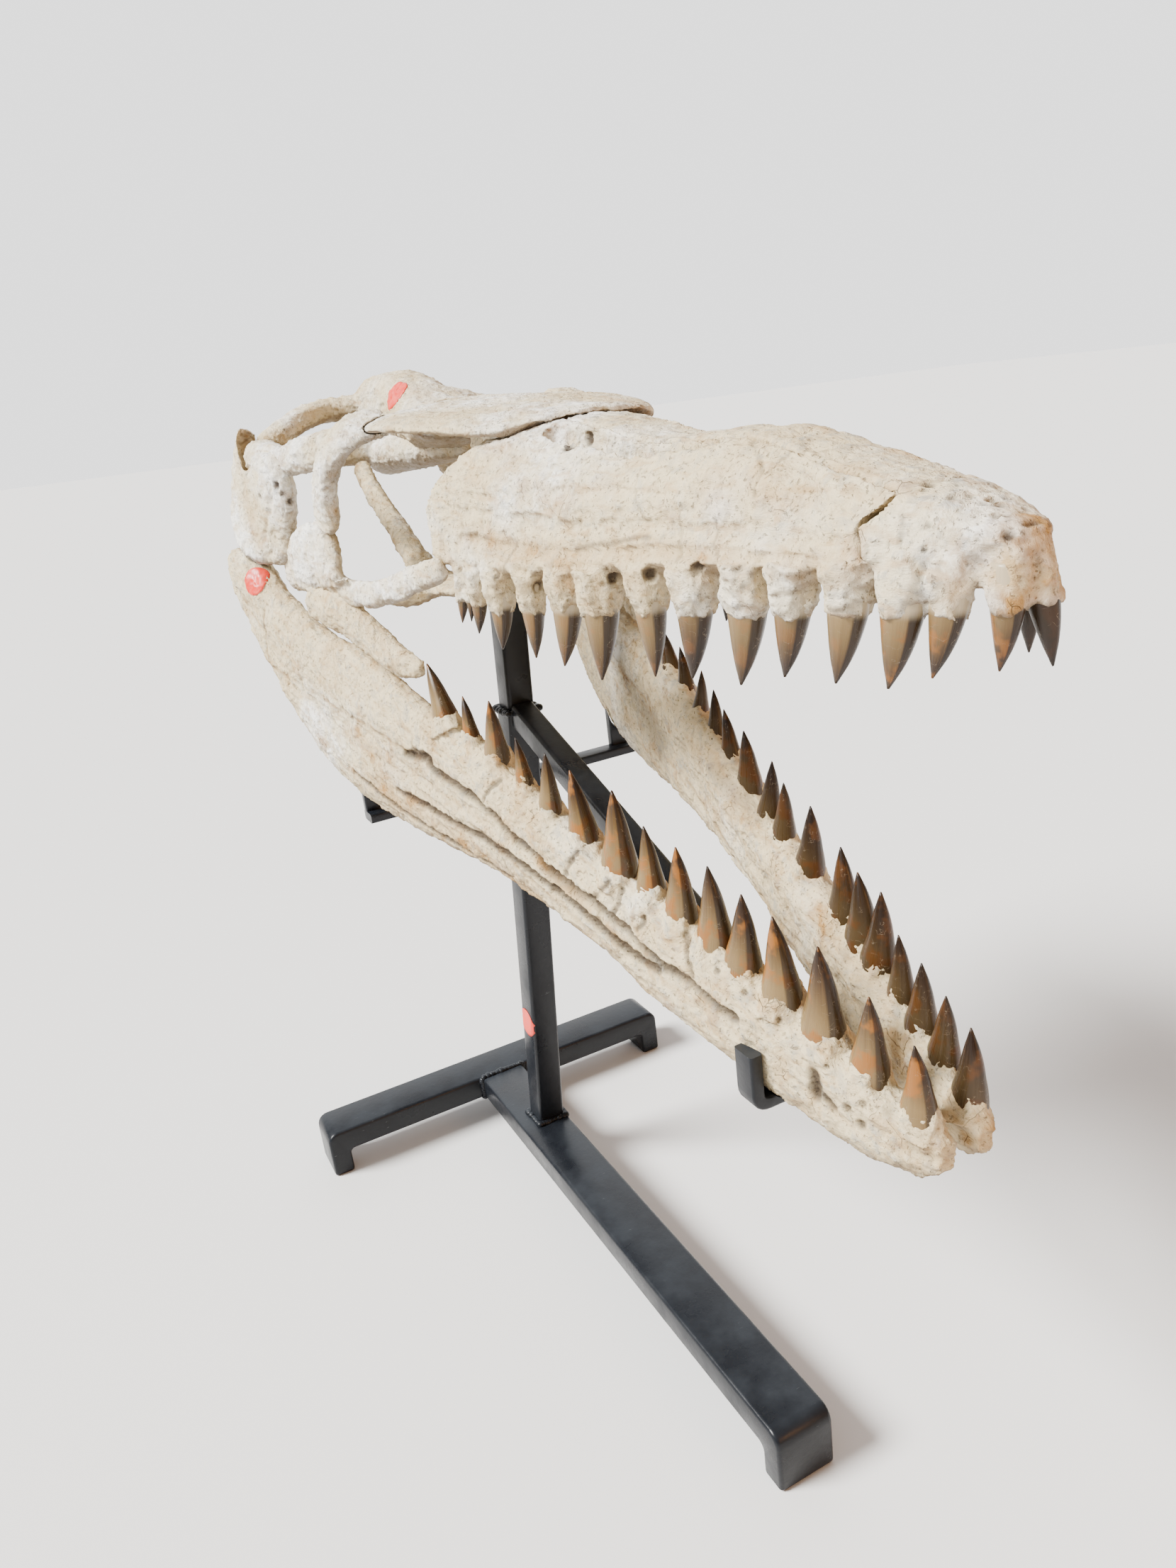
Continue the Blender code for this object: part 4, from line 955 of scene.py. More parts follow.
def tooth_tree():
    """A row of crowns grown from one point each, which carries the crown's axis, size, bend and tint."""
    tree, pen, source, sink = new_tree(
        "tooth row", "GeometryNodeTree",
        {"Geometry": "NodeSocketGeometry", "Sides": 28, "Rings": 22, "Root": 0.012, "Flatness": 0.8,
         "Keel": 0.18, "Fluting": 0.00012, "Root swell": 0.0, "Finish": "NodeSocketMaterial"},
        SHAPE_OUTPUTS,
    )
    given = source.outputs
    column = pen.node(
        "GeometryNodeMeshCylinder",
        {"Vertices": given["Sides"], "Side Segments": given["Rings"], "Radius": 1.0, "Depth": 1.0},
        fill_type="TRIANGLE_FAN",
    ).outputs["Mesh"]
    place = pen.node("GeometryNodeInputPosition").outputs[0]
    column = pen.stored(column, "blank", place, "FLOAT_VECTOR")
    points = pen.node("GeometryNodeMeshToPoints", {"Mesh": given["Geometry"]}).outputs[0]
    rows = pen.node("GeometryNodeInstanceOnPoints", {"Points": points, "Instance": column}).outputs[0]
    rows = pen.whole(rows)

    def named(label, kind="FLOAT"):
        made = pen.node("GeometryNodeInputNamedAttribute", {"Name": label}, data_type=kind)
        return made.outputs["Attribute"]

    blank = named("blank", "FLOAT_VECTOR")
    parts = pen.node("ShaderNodeSeparateXYZ", {0: blank}).outputs
    share = pen.plus(parts[2], 0.5, clamp=True)
    reach = pen.plus(named("height"), given["Root"])
    height = pen.minus(pen.times(share, reach), given["Root"])
    rise = pen.over(height, named("height"), clamp=True)
    curve = pen.node("ShaderNodeFloatCurve", {"Value": share})
    knots = curve.mapping.curves[0].points
    knots[1].location = TOOTH_PROFILE[-1]
    for at, value in TOOTH_PROFILE[1:-1]:
        knots.new(at, value / PROFILE_SCALE)
    knots[0].location = (TOOTH_PROFILE[0][0], TOOTH_PROFILE[0][1] / PROFILE_SCALE)
    curve.mapping.update()
    girth = pen.times(pen.times(curve.outputs[0], PROFILE_SCALE), named("half"))
    widened = pen.times(pen.window(share, 0.0, 0.5, 1.0, 0.0), given["Root swell"])
    girth = pen.times(girth, pen.plus(1.0, widened))
    to_front = pen.math("ABSOLUTE", parts[0])
    slim = pen.minus(1.0, pen.times(given["Keel"], pen.math("POWER", to_front, 3.0)))
    side_size = pen.times(pen.times(parts[1], given["Flatness"]), slim)
    flutes = pen.noise(pen.vector("MULTIPLY", blank, (7.0, 7.0, 0.6)), 1.0, 2.0, 0.5)
    flutes = pen.times(pen.minus(flutes, 0.5), pen.times(given["Fluting"], 2.0))
    swell = pen.plus(girth, flutes)
    ahead = pen.scaled(named("front", "FLOAT_VECTOR"), pen.times(parts[0], swell))
    aside = pen.scaled(named("out", "FLOAT_VECTOR"), pen.times(side_size, swell))
    along = pen.scaled(named("axis", "FLOAT_VECTOR"), height)
    bent = pen.times(pen.times(rise, rise), named("bend"))
    back = pen.scaled(named("front", "FLOAT_VECTOR"), pen.times(bent, -1.0))
    root = pen.vector("SUBTRACT", place, blank)
    spot = pen.vector("ADD", pen.vector("ADD", root, along),
                      pen.vector("ADD", back, pen.vector("ADD", ahead, aside)))
    rows = pen.node("GeometryNodeSetPosition", {"Geometry": rows, "Position": spot}).outputs[0]
    rows = pen.stored(rows, "rise", rise)
    rows = pen.node("GeometryNodeSetShadeSmooth", {"Geometry": rows, "Shade Smooth": True}).outputs[0]
    tree.links.new(pen.painted(rows, given["Finish"]), sink.inputs[0])
    return tree


def weld_tree():
    """Overlapping flat beads along a path, as a welder lays them."""
    tree, pen, source, sink = new_tree(
        "weld beads", "GeometryNodeTree",
        {"Geometry": "NodeSocketGeometry", "Spacing": 0.0022, "Bead": 0.0028, "Flatness": 0.8, "Seed": 3,
         "Finish": "NodeSocketMaterial"},
        SHAPE_OUTPUTS,
    )
    given = source.outputs
    path = pen.node("GeometryNodeMeshToCurve", {"Mesh": given["Geometry"]}).outputs[0]
    points = pen.node(
        "GeometryNodeCurveToPoints", {"Curve": path, "Length": given["Spacing"]}, mode="LENGTH"
    ).outputs["Points"]
    bead = pen.node("GeometryNodeMeshIcoSphere", {"Radius": 1.0, "Subdivisions": 3}).outputs[0]
    turn = pen.node(
        "FunctionNodeRandomValue", {0: (-0.5, -0.5, -3.1), 1: (0.5, 0.5, 3.1), "Seed": given["Seed"]},
        data_type="FLOAT_VECTOR",
    ).outputs[0]
    size = pen.node(
        "FunctionNodeRandomValue", {2: 0.75, 3: 1.2, "Seed": given["Seed"]}, data_type="FLOAT"
    ).outputs[1]
    size = pen.times(size, given["Bead"])
    scale = pen.node(
        "ShaderNodeCombineXYZ", {0: size, 1: size, 2: pen.times(size, given["Flatness"])}
    ).outputs[0]
    beads = pen.node(
        "GeometryNodeInstanceOnPoints", {"Points": points, "Instance": bead, "Rotation": turn, "Scale": scale}
    ).outputs[0]
    tree.links.new(pen.painted(beads, given["Finish"]), sink.inputs[0])
    return tree


# Finishes

CHALK = (0.930, 0.915, 0.850, 1.0)
CREAM = (0.680, 0.565, 0.350, 1.0)
TAN = (0.400, 0.225, 0.075, 1.0)
STONE_GREY = (0.300, 0.305, 0.300, 1.0)
BROWN = (0.030, 0.016, 0.008, 1.0)
PAINTED_UNDERSIDE_SHADE = (0.130, 0.080, 0.040, 1.0)  # painted shade on undersides


def bone_colour_and_shade_group():
    """Fossil bone: chalk and cream, tan stains, dark cracks, painted shade on its undersides, in its valleys
    and where marks lay it, and the height of its fine grain.
    """
    tree, pen, source, sink = new_tree(
        "fossil weathering", "ShaderNodeTree",
        {"Cream share": 0.5, "Tan share": 0.3, "Grey share": 0.2, "Grain dip": 0.0, "Streaks": 0.3,
         "Hairlines": 0.5, "Valleys": 0.8, "Underside": 0.75},
        LOOK_OUTPUTS,
    )
    given = source.outputs
    place = pen.node("ShaderNodeTexCoord").outputs["Object"]
    wander = pen.vector("SUBTRACT", pen.noise(place, 40.0, 3.0, 0.5, "Color"), (0.5, 0.5, 0.5))
    loose = pen.vector("ADD", place, pen.scaled(wander, 0.014))
    broad = pen.noise(place, 11.0, 4.0, 0.55)
    patchy = pen.noise(loose, 48.0, 5.0, 0.62)
    spots = pen.noise(loose, 190.0, 4.0, 0.6)
    turned = pen.turned(loose, given["Grain dip"])
    grain = pen.noise(pen.vector("MULTIPLY", turned, (38.0, 420.0, 420.0)), 1.0, 5.0, 0.65)
    fine = pen.noise(pen.vector("MULTIPLY", turned, (300.0, 1500.0, 1500.0)), 1.0, 3.0, 0.6)
    cream = pen.window(pen.plus(broad, pen.times(given["Cream share"], 0.4)), 0.54, 0.76)
    colour = pen.blend(cream, CHALK, CREAM)
    grey = pen.times(pen.window(spots, 0.46, 0.66), given["Grey share"])
    colour = pen.blend(grey, colour, STONE_GREY)
    tan = pen.times(pen.window(patchy, 0.50, 0.66), given["Tan share"])
    stain = pen.times(pen.attribute("stain"), pen.window(patchy, 0.25, 0.6, 0.55, 1.0))
    colour = pen.blend(pen.plus(tan, stain, clamp=True), colour, TAN)
    streak = pen.times(pen.window(grain, 0.58, 0.80), given["Streaks"])
    colour = pen.blend(streak, colour, TAN)
    cells = pen.cell_edges(loose, 62.0)
    hair = pen.times(pen.window(cells, 0.0, 0.012, 1.0, 0.0), pen.window(patchy, 0.56, 0.64))
    hair = pen.times(hair, given["Hairlines"])
    colour = pen.blend(hair, colour, BROWN)
    # The valleys of the grain's relief are tinted tan: painted shade in the hollows.
    valley = pen.times(pen.window(pen.attribute("fibres"), -0.16, 0.0, 0.6, 0.0), given["Valleys"])
    colour = pen.blend(valley, colour, TAN)
    flaw = pen.times(pen.attribute("flaw"), 0.35)
    colour = pen.blend(flaw, colour, CREAM)
    grit = pen.times(pen.attribute("grit"), 0.65)
    colour = pen.blend(grit, colour, BROWN)
    pores = pen.window(pen.noise(loose, 520.0, 3.0, 0.65), 0.58, 0.70)
    colour = pen.blend(pen.times(pores, 0.45), colour, BROWN)
    cracks = pen.times(pen.attribute("cracks"), 0.45)
    colour = pen.blend(cracks, colour, BROWN)
    # Down-facing surfaces are darkened: painted shade on the undersides.
    under = pen.times(pen.window(pen.facing_up(), -0.75, 0.05, 1.0, 0.0), given["Underside"])
    colour = pen.blend(under, colour, PAINTED_UNDERSIDE_SHADE)
    # The dark marks: painted shade in pits, cracks and shade marks, with the cracks' dark filling.
    colour = pen.blend(pen.times(pen.attribute("dark"), 0.92), colour, BROWN)
    height = pen.plus(pen.times(grain, 0.8), pen.times(fine, 0.35))
    height = pen.plus(height, pen.times(spots, 1.4))
    height = pen.minus(height, pen.times(pores, 0.5))
    height = pen.minus(height, hair)
    return ended(tree, sink, colour, height, pen.window(spots, 0.3, 0.7, 0.62, 0.86))


def new_finish(name):
    material = bpy.data.materials.new(name)
    material.use_nodes = True
    pen = Pen(material.node_tree)
    return material, pen, material.node_tree.nodes["Principled BSDF"]


def group_finish(name, group, bump_strength, bump_height, specular, **shares):
    """A material whose colour, roughness and relief come from a shared group, set with its own shares."""
    material, pen, shader = new_finish(name)
    looks = pen.node("ShaderNodeGroup", node_tree=group)
    for label, value in shares.items():
        looks.inputs[label.replace("_", " ")].default_value = value
    relief = {"Strength": bump_strength, "Distance": bump_height, "Height": looks.outputs["Height"]}
    bump = pen.node("ShaderNodeBump", relief)
    for made, wanted in ((looks.outputs["Color"], "Base Color"), (looks.outputs["Roughness"], "Roughness"),
                         (bump.outputs[0], "Normal")):
        material.node_tree.links.new(made, shader.inputs[wanted])
    shader.inputs["Specular IOR Level"].default_value = specular
    return material


def bone_finish(name, group, **shares):
    return group_finish(name, group, bump_strength=0.85, bump_height=1.2 * MM, specular=0.25, **shares)


def tooth_finish(name, group, **shares):
    return group_finish(name, group, bump_strength=0.25, bump_height=0.4 * MM, specular=0.28, **shares)


ENAMEL_BANDS = (
    (0.00, (0.190, 0.125, 0.052, 1.0)),
    (0.22, (0.150, 0.096, 0.038, 1.0)),
    (0.55, (0.080, 0.046, 0.018, 1.0)),
    (0.82, (0.030, 0.016, 0.008, 1.0)),
    (1.00, (0.018, 0.010, 0.006, 1.0)),
)


def enamel_group():
    """A tooth's colour from root to tip, with painted shade on its front and inner side, streaks along it and
    a few cracks.
    """
    tree, pen, source, sink = new_tree(
        "tooth enamel", "ShaderNodeTree",
        {"Front shade": 0.8, "Warmth": 0.5, "Pale root": 1.0},
        LOOK_OUTPUTS,
    )
    given = source.outputs
    place = pen.node("ShaderNodeTexCoord").outputs["Object"]
    rise = pen.attribute("rise")
    tint = pen.attribute("tint")
    blank = pen.attribute("blank", "Vector")
    lengthwise = pen.vector("ADD", pen.vector("MULTIPLY", blank, (3.2, 3.2, 0.7)),
                            pen.node("ShaderNodeCombineXYZ", {2: pen.times(tint, 31.0)}).outputs[0])
    streaks = pen.noise(lengthwise, 1.6, 4.0, 0.6)
    uneven = pen.times(pen.minus(streaks, 0.5), 0.55)
    along = pen.plus(pen.plus(rise, uneven), pen.times(pen.minus(tint, 0.5), 0.4))
    bands = pen.node("ShaderNodeValToRGB", {0: along})
    ramp = bands.color_ramp
    ramp.elements[0].position, ramp.elements[0].color = ENAMEL_BANDS[0]
    ramp.elements[1].position, ramp.elements[1].color = ENAMEL_BANDS[-1]
    for at, colour in ENAMEL_BANDS[1:-1]:
        ramp.elements.new(at).color = colour
    colour = bands.outputs[0]
    orange = pen.times(pen.window(pen.noise(place, 90.0, 3.0), 0.48, 0.62), given["Warmth"])
    colour = pen.blend(orange, colour, (0.240, 0.090, 0.016, 1.0))
    # The front and inner side of each crown is darkened: painted shade.
    inner = pen.vector("DOT_PRODUCT", blank, (0.34, -0.94, 0.0))
    shade = pen.window(pen.plus(inner, pen.times(uneven, 0.5)), -0.34, -0.14)
    colour = pen.blend(pen.times(shade, given["Front shade"]), colour, (0.010, 0.005, 0.003, 1.0))
    rings = pen.noise(pen.vector("MULTIPLY", blank, (0.8, 0.8, 9.0)), 1.0, 3.0, 0.5)
    split = pen.times(pen.window(pen.math("ABSOLUTE", pen.minus(rings, 0.5)), 0.0, 0.006, 1.0, 0.0),
                     pen.window(pen.noise(place, 160.0, 2.0), 0.50, 0.58))
    colour = pen.blend(pen.times(split, 0.55), colour, (0.34, 0.27, 0.19, 1.0))
    collar = pen.times(pen.window(rise, 0.0, 0.16, 0.8, 0.0), given["Pale root"])
    colour = pen.blend(collar, colour, (0.50, 0.41, 0.27, 1.0))
    return ended(tree, sink, colour, pen.plus(streaks, split), pen.window(streaks, 0.3, 0.7, 0.22, 0.44))


def paint_group():
    """Black paint over steel: a soft unevenness, pale scuffs and dust."""
    tree, pen, source, sink = new_tree(
        "black paint", "ShaderNodeTree", {"Scuffs": 0.5, "Dust": 0.3},
        LOOK_OUTPUTS,
    )
    given = source.outputs
    place = pen.node("ShaderNodeTexCoord").outputs["Object"]
    cloud = pen.noise(place, 26.0, 4.0, 0.6)
    scratch = pen.noise(pen.vector("MULTIPLY", place, (900.0, 130.0, 500.0)), 1.0, 3.0, 0.6)
    scuff = pen.times(pen.window(scratch, 0.66, 0.74), pen.window(cloud, 0.52, 0.66))
    scuff = pen.times(scuff, given["Scuffs"])
    dust = pen.times(pen.window(pen.facing_up(), 0.5, 1.0), pen.window(cloud, 0.35, 0.75))
    dust = pen.times(dust, given["Dust"])
    colour = pen.blend(dust, (0.0075, 0.0090, 0.0120, 1.0), (0.030, 0.036, 0.044, 1.0))
    colour = pen.blend(scuff, colour, (0.13, 0.14, 0.15, 1.0))
    ripple = pen.plus(pen.noise(place, 320.0, 2.0), pen.times(pen.noise(place, 60.0, 2.0), 2.0))
    return ended(tree, sink, colour, ripple, pen.window(cloud, 0.3, 0.75, 0.24, 0.46))


def dot_finish():
    material, pen, shader = new_finish("red_dot_paper")
    place = pen.node("ShaderNodeTexCoord").outputs["Object"]
    faded = pen.window(pen.noise(place, 300.0, 3.0), 0.35, 0.7)
    colour = pen.blend(faded, (0.72, 0.035, 0.018, 1.0), (0.80, 0.075, 0.040, 1.0))
    material.node_tree.links.new(colour, shader.inputs["Base Color"])
    material.node_tree.links.new(pen.window(faded, 0.0, 1.0, 0.35, 0.5), shader.inputs["Roughness"])
    return material


# Shapes of the bones


def jaw_middle(x):
    return JAW_TIP_Y + JAW_SPREAD * (JAW_TIP_X - x)


def jaw_body(side, grow=0.0, sides=72, steps=190):
    x = np.linspace(JAW_SECTIONS[0][0] - grow, JAW_SECTIONS[-1][0] + grow, steps)
    low, high, half = table_at(np.clip(x, JAW_SECTIONS[0][0], JAW_SECTIONS[-1][0]), JAW_SECTIONS)
    a, b = rounded(2 * math.pi * (np.arange(sides) + 0.5) / sides, 2.5)
    swell = 1 + 0.10 * np.exp(-((b - 0.55) / 0.25) ** 2) - 0.10 * np.exp(-((b + 0.05) / 0.22) ** 2)
    y = jaw_middle(x)[:, None] + (a * swell)[None] * (half + grow)[:, None]
    z = ((low + high) / 2)[:, None] + b[None] * ((high - low) / 2 + grow)[:, None]
    return solid("jaw", np.stack([np.broadcast_to(x[:, None], y.shape), side * y, z], axis=-1))


def face_body(grow=0.0, sides=120, steps=170):
    first, last = FACE_SECTIONS[0][0] - grow, FACE_SECTIONS[-1][0] + grow
    spread = 1 - (1 - np.linspace(0, 1, steps)) ** 1.4
    x = first + (last - first) * spread
    top, wide, under, half = table_at(np.clip(x, FACE_SECTIONS[0][0], FACE_SECTIONS[-1][0]), FACE_SECTIONS)
    angle = 2 * math.pi * (np.arange(sides) + 0.5) / sides
    upper = rounded(angle, FACE_TOP_POWER)
    lower = rounded(angle, FACE_UNDER_POWER)
    a = np.where(angle < math.pi, upper[0], lower[0])
    b = np.where(angle < math.pi, upper[1], lower[1])
    rise = np.where(b[None] > 0, (top - wide)[:, None], (wide - under)[:, None]) + grow
    z = wide[:, None] + b[None] * rise
    fade = np.clip((last - x) / 2.0, 0, 1)[:, None]
    margin = 0.045 * np.exp(-((z - under[:, None] - 0.16) / 0.17) ** 2)
    hollow = 0.040 * np.exp(-((z - under[:, None] - 0.62) / 0.24) ** 2)
    flank = np.abs(a)[None] > 0.75
    y = a[None] * (half + grow)[:, None] + np.sign(a)[None] * np.where(flank, (margin - hollow) * fade, 0)
    return solid("face", np.stack([np.broadcast_to(x[:, None], y.shape), y, z], axis=-1))


def frontal_body(grow=0.0, sides=64, steps=90):
    limits = FRONTAL_SECTIONS[0][0], FRONTAL_SECTIONS[-1][0]
    x = np.linspace(limits[0] - grow, limits[1] + grow, steps)
    top, half, thick, fall = table_at(np.clip(x, *limits), FRONTAL_SECTIONS)
    thick = thick * np.clip((limits[1] - x) / 0.5, 0.3, 1)
    a, b = rounded(2 * math.pi * (np.arange(sides) + 0.5) / sides, 2.8)
    z = (top - thick / 2)[:, None] + b[None] * (thick / 2 + grow)[:, None] - fall[:, None] * (a * a)[None]
    keel = 0.05 * np.exp(-(a / 0.10) ** 2) * (b > 0)
    z = z + keel[None]
    y = a[None] * (half + grow)[:, None]
    return solid("frontal", np.stack([np.broadcast_to(x[:, None], y.shape), y, z], axis=-1))


def tooth_axes(axis, out):
    axis = Vector(axis).normalized()
    front = Vector((1, 0, 0)) - axis * axis.x
    front.normalize()
    outward = axis.cross(front).normalized()
    if outward.y * out < 0:
        outward.negate()
    return axis, front, outward


def planned(place, lean, length, side, draw):
    """What one crown is made from; the draws follow the solids' order, so each crown lies on its solid."""
    axis, front, outward = tooth_axes(lean, side)
    half = length * TOOTH_WIDTH / 2 * draw.uniform(0.94, 1.06)
    bend = draw.uniform(0.08, 0.13) * length
    return {"place": Vector(place), "axis": axis, "front": front, "out": outward,
            "height": length, "half": half, "bend": bend}


def upper_plan(side, table, draw):
    made = []
    for x, length, lean in table:
        top, wide, under, half = table_at(x, FACE_SECTIONS)
        place = (x + 0.02, side * (half - 0.15), under - UPPER_SOCKET)
        axis = Vector((lean, side * draw.uniform(-0.02, 0.08), -1.0))
        made.append(planned(place, axis, length, side, draw))
    return made


def lower_plan(side, table, draw):
    made = []
    for x, length, lean in table:
        high = table_at(x, JAW_SECTIONS)[1]
        place = (x, side * jaw_middle(x), high + LOWER_SOCKET)
        axis = Vector((lean, side * draw.uniform(-0.02, 0.06), 1.0))
        made.append(planned(place, axis, length, side, draw))
    return made


# socket bone round a crown: height along the crown and share of its half width
UPPER_COLLAR = ((-0.42, 1.48), (-0.26, 1.40), (-0.12, 1.28), (0.0, 1.17), (0.08, 1.07), (0.13, 0.97))
SNOUT_COLLAR = ((-0.50, 0.80), (-0.36, 1.10), (-0.20, 1.20), (-0.06, 1.18), (0.02, 1.12), (0.08, 1.06),
                (0.13, 0.97))
LOWER_COLLAR = ((-0.36, 1.75), (-0.24, 1.52), (-0.15, 1.34), (-0.08, 1.18), (-0.03, 1.02))


def collars(plan, profile, draw, sides=26):
    """The rough socket bone round each crown's root."""
    made = []
    for tooth in plan:
        rim = [draw.uniform(-0.05, 0.05) for k in range(sides)]
        rim = [(rim[k - 1] + rim[k] + rim[(k + 1) % sides]) / 3 for k in range(sides)]
        turn = draw.uniform(0.0, math.tau)
        rings = []
        for height, share in profile:
            centre = tooth["place"] + tooth["axis"] * height
            ring = []
            for k in range(sides):
                angle = 2 * math.pi * k / sides
                reach = tooth["front"] * math.cos(angle) + tooth["out"] * math.sin(angle) * 0.9
                wave = 1 + 0.07 * math.sin(3 * angle + 9 * height + turn) + 0.04 * math.sin(7 * angle - turn)
                ring.append(centre + reach * tooth["half"] * share * wave + tooth["axis"] * rim[k])
            rings.append(ring)
        made.append(solid("collar", rings))
    return made


def suture_lines(side, y_of, lines):
    """Seams given as x and z, laid on the outer and inner face of a bone in an upright plane."""
    laid = []
    for line in lines:
        for offset in (-0.34, 0.34):
            laid.append(("seam", 2.2, 0.9, [in_frame((x, side * (y_of(x) + offset), z)) for x, z in line]))
    return laid


# The bones of the skull, each fused, carved and given its relief


class Bench:
    """The node trees and finishes that the pieces share."""


def dress(piece, *nodes, slot="fossil_bone"):
    piece.data.name = piece.name
    piece.data.shade_smooth()
    if nodes:
        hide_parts(*nodes)
    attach(piece, "root")
    return piece


def finish_bone(bench, piece, nodes, laid=(), finish=None, **relief):
    carve(piece, laid, seed=len(nodes) + 3)
    values = {"lump_size": 0.022, "lump_height": 0.0016, "fibre_length": 0.030, "fibre_width": 0.0042,
              "fibre_height": 0.0012, "crack_size": 0.036, "crack_width": 0.018, "crack_depth": 0.0008,
              "pitting": 0.0009, "flake_depth": 0.0006, "seed": 0.37 * len(piece.name),
              "finish": finish or bench.skull_bone}
    values.update(relief)
    grow_with(piece, bench.relief, **values)
    return dress(piece, *nodes)


def tooth_row(bench, name, plan, draw, finish=None, root_swell=0.0):
    """One mesh of crowns from the plan."""
    mesh = bpy.data.meshes.new(name)
    mesh.from_pydata([in_frame(tooth["place"]) for tooth in plan], [], [])
    for label in ("axis", "front", "out"):
        values = mesh.attributes.new(label, "FLOAT_VECTOR", "POINT")
        values.data.foreach_set("vector", [c for tooth in plan for c in tooth[label]])
    for label in ("height", "half", "bend"):
        values = mesh.attributes.new(label, "FLOAT", "POINT")
        values.data.foreach_set("value", [tooth[label] * BAR for tooth in plan])
    values = mesh.attributes.new("tint", "FLOAT", "POINT")
    values.data.foreach_set("value", [draw.random() for tooth in plan])
    row = link(name, mesh)
    grow_with(row, bench.teeth, root=TOOTH_SUNK * BAR, flatness=TOOTH_FLATTENING, root_swell=root_swell,
              finish=finish or bench.enamel)
    return dress(row)


def build_face(bench):
    body = face_body()
    for side in SIDES.values():
        low_y, high_y = sorted((side * 0.85, side * 3.0))
        behind = tuple(EYE_SOCKET_FRONT) + ((8.0, 16.5), (4.0, 16.5), (4.0, 13.2))
        trim(body, prism(behind, low_y, high_y), sweep(NOSTRIL_SLIT, side))
    trim(body, sweep(FACE_VAULT), frontal_body(GAP))
    half = SNOUT_BAR_HALF_WIDTH
    snout_outline = PREMAXILLA_EDGE + ((17.0, 13.0), (17.0, 16.0))
    snout = trim(twin(body), prism(snout_outline, -2, 2), operation="INTERSECT")
    bar = trim(twin(body), block((8.0, -half, SNOUT_BAR_FLOOR), (15.2, half, 16)), operation="INTERSECT")
    wider = tuple((x - GAP, z) for x, z in PREMAXILLA_EDGE) + ((17.0, 13.0), (17.0, 16.0))
    rest = trim(body, prism(wider, -2, 2),
                block((7.9, -half - GAP, SNOUT_BAR_FLOOR - GAP), (15.2, half + GAP, 16)))
    front_draw = random.Random(5)
    front = upper_plan(-1, FRONT_TEETH_RIGHT, front_draw) + upper_plan(1, FRONT_TEETH_LEFT, front_draw)
    draw = random.Random(12)
    piece = fuse("snout_tip", snout, bar, *collars(front, SNOUT_COLLAR, draw))
    laid = marks_from_photo(piece, SNOUT_MARKS)
    finish_bone(bench, piece, ["premaxilla"], laid + mirrored(laid), bench.snout_bone, fibre_height=0.0005)
    tooth_row(bench, "snout_teeth", front, draw, bench.warm_enamel)
    for label, side in SIDES.items():
        low_y, high_y = sorted((side * GAP / 2, side * 4.0))
        half_face = trim(twin(rest), block((4, low_y, 12), (17, high_y, 17)), operation="INTERSECT")
        plan = upper_plan(side, UPPER_TEETH_RIGHT if side < 0 else UPPER_TEETH_LEFT, random.Random(31 + side))
        cheek = fuse(f"cheek_{label}", half_face, *collars(plan, UPPER_COLLAR, draw))
        laid = side_marks(cheek, CHEEK_MARKS, side)
        finish_bone(bench, cheek, [f"maxilla_{label}", f"prefrontal_{label}"], laid)
        tooth_row(bench, f"upper_teeth_{label}", plan, draw)
    remove(rest)


def build_roof(bench):
    plate = fuse("forehead", frontal_body())
    finish_bone(bench, plate, ["frontal"], marks_from_photo(plate, FOREHEAD_MARKS), fibre_height=0.0004)
    wings = [sweep(PARIETAL_WING, side) for side in SIDES.values()]
    crown = trim(fuse("crown_bone", sweep(PARIETAL_ROOF), *wings), frontal_body(2 * GAP))
    finish_bone(bench, crown, ["parietal"], marks_from_photo(crown, CROWN_MARKS), bench.pale_bone)
    arms = [sweep(PAROCCIPITAL, side) for side in SIDES.values()]
    rough = fuse("brain_case", sweep(BRAINCASE_BODY), *arms)
    finish_bone(bench, rough, ["braincase"], (), bench.pale_bone, lump_height=0.0014, lump_size=0.02)


def build_cheek_bones(bench):
    """The arches behind the eye, the quadrate, the cheek bar and the palate, on each side."""
    for label, side in SIDES.items():
        quadrate = fuse(f"quadrate_bone_{label}", sweep(QUADRATE_PLATE, side, up=(0, 1, 0)))
        laid = side_marks(quadrate, QUADRATE_MARKS, side)
        finish_bone(bench, quadrate, [f"quadrate_{label}"], laid, bench.pale_bone, lump_height=0.0016,
                    lump_size=0.016, pitting=0.0007)
        arch = fuse(f"arch_bone_{label}", sweep(SQUAMOSAL_ARCH, side))
        finish_bone(bench, arch, [f"squamosal_{label}"], (), bench.pale_bone)
        bar = sweep(POSTORBITAL_BAR, side, up=(0, 1, 1))
        bar = fuse(f"eye_bar_{label}", bar, sweep(POSTORBITAL_ARCH, side))
        trim(bar, frontal_body(2 * GAP))
        finish_bone(bench, bar, [f"postorbital_{label}"], side_marks(bar, EYE_BAR_MARKS, side),
                    bench.pale_bone)
        cheek = [sweep(JUGAL_PLATE, side, up=(0, 1, 0)), sweep(JUGAL_REAR_LOBE, side), sweep(JUGAL_BAR, side)]
        cheek = fuse(f"cheek_bar_{label}", *cheek)
        finish_bone(bench, cheek, [f"jugal_{label}"], side_marks(cheek, CHEEK_BAR_MARKS, side),
                    bench.pale_bone)
        palate = fuse(f"palate_bone_{label}", sweep(PTERYGOID_PLATE, side), sweep(ECTOPTERYGOID, side))
        finish_bone(bench, palate, [f"pterygoid_{label}"], (), bench.jaw_bone)


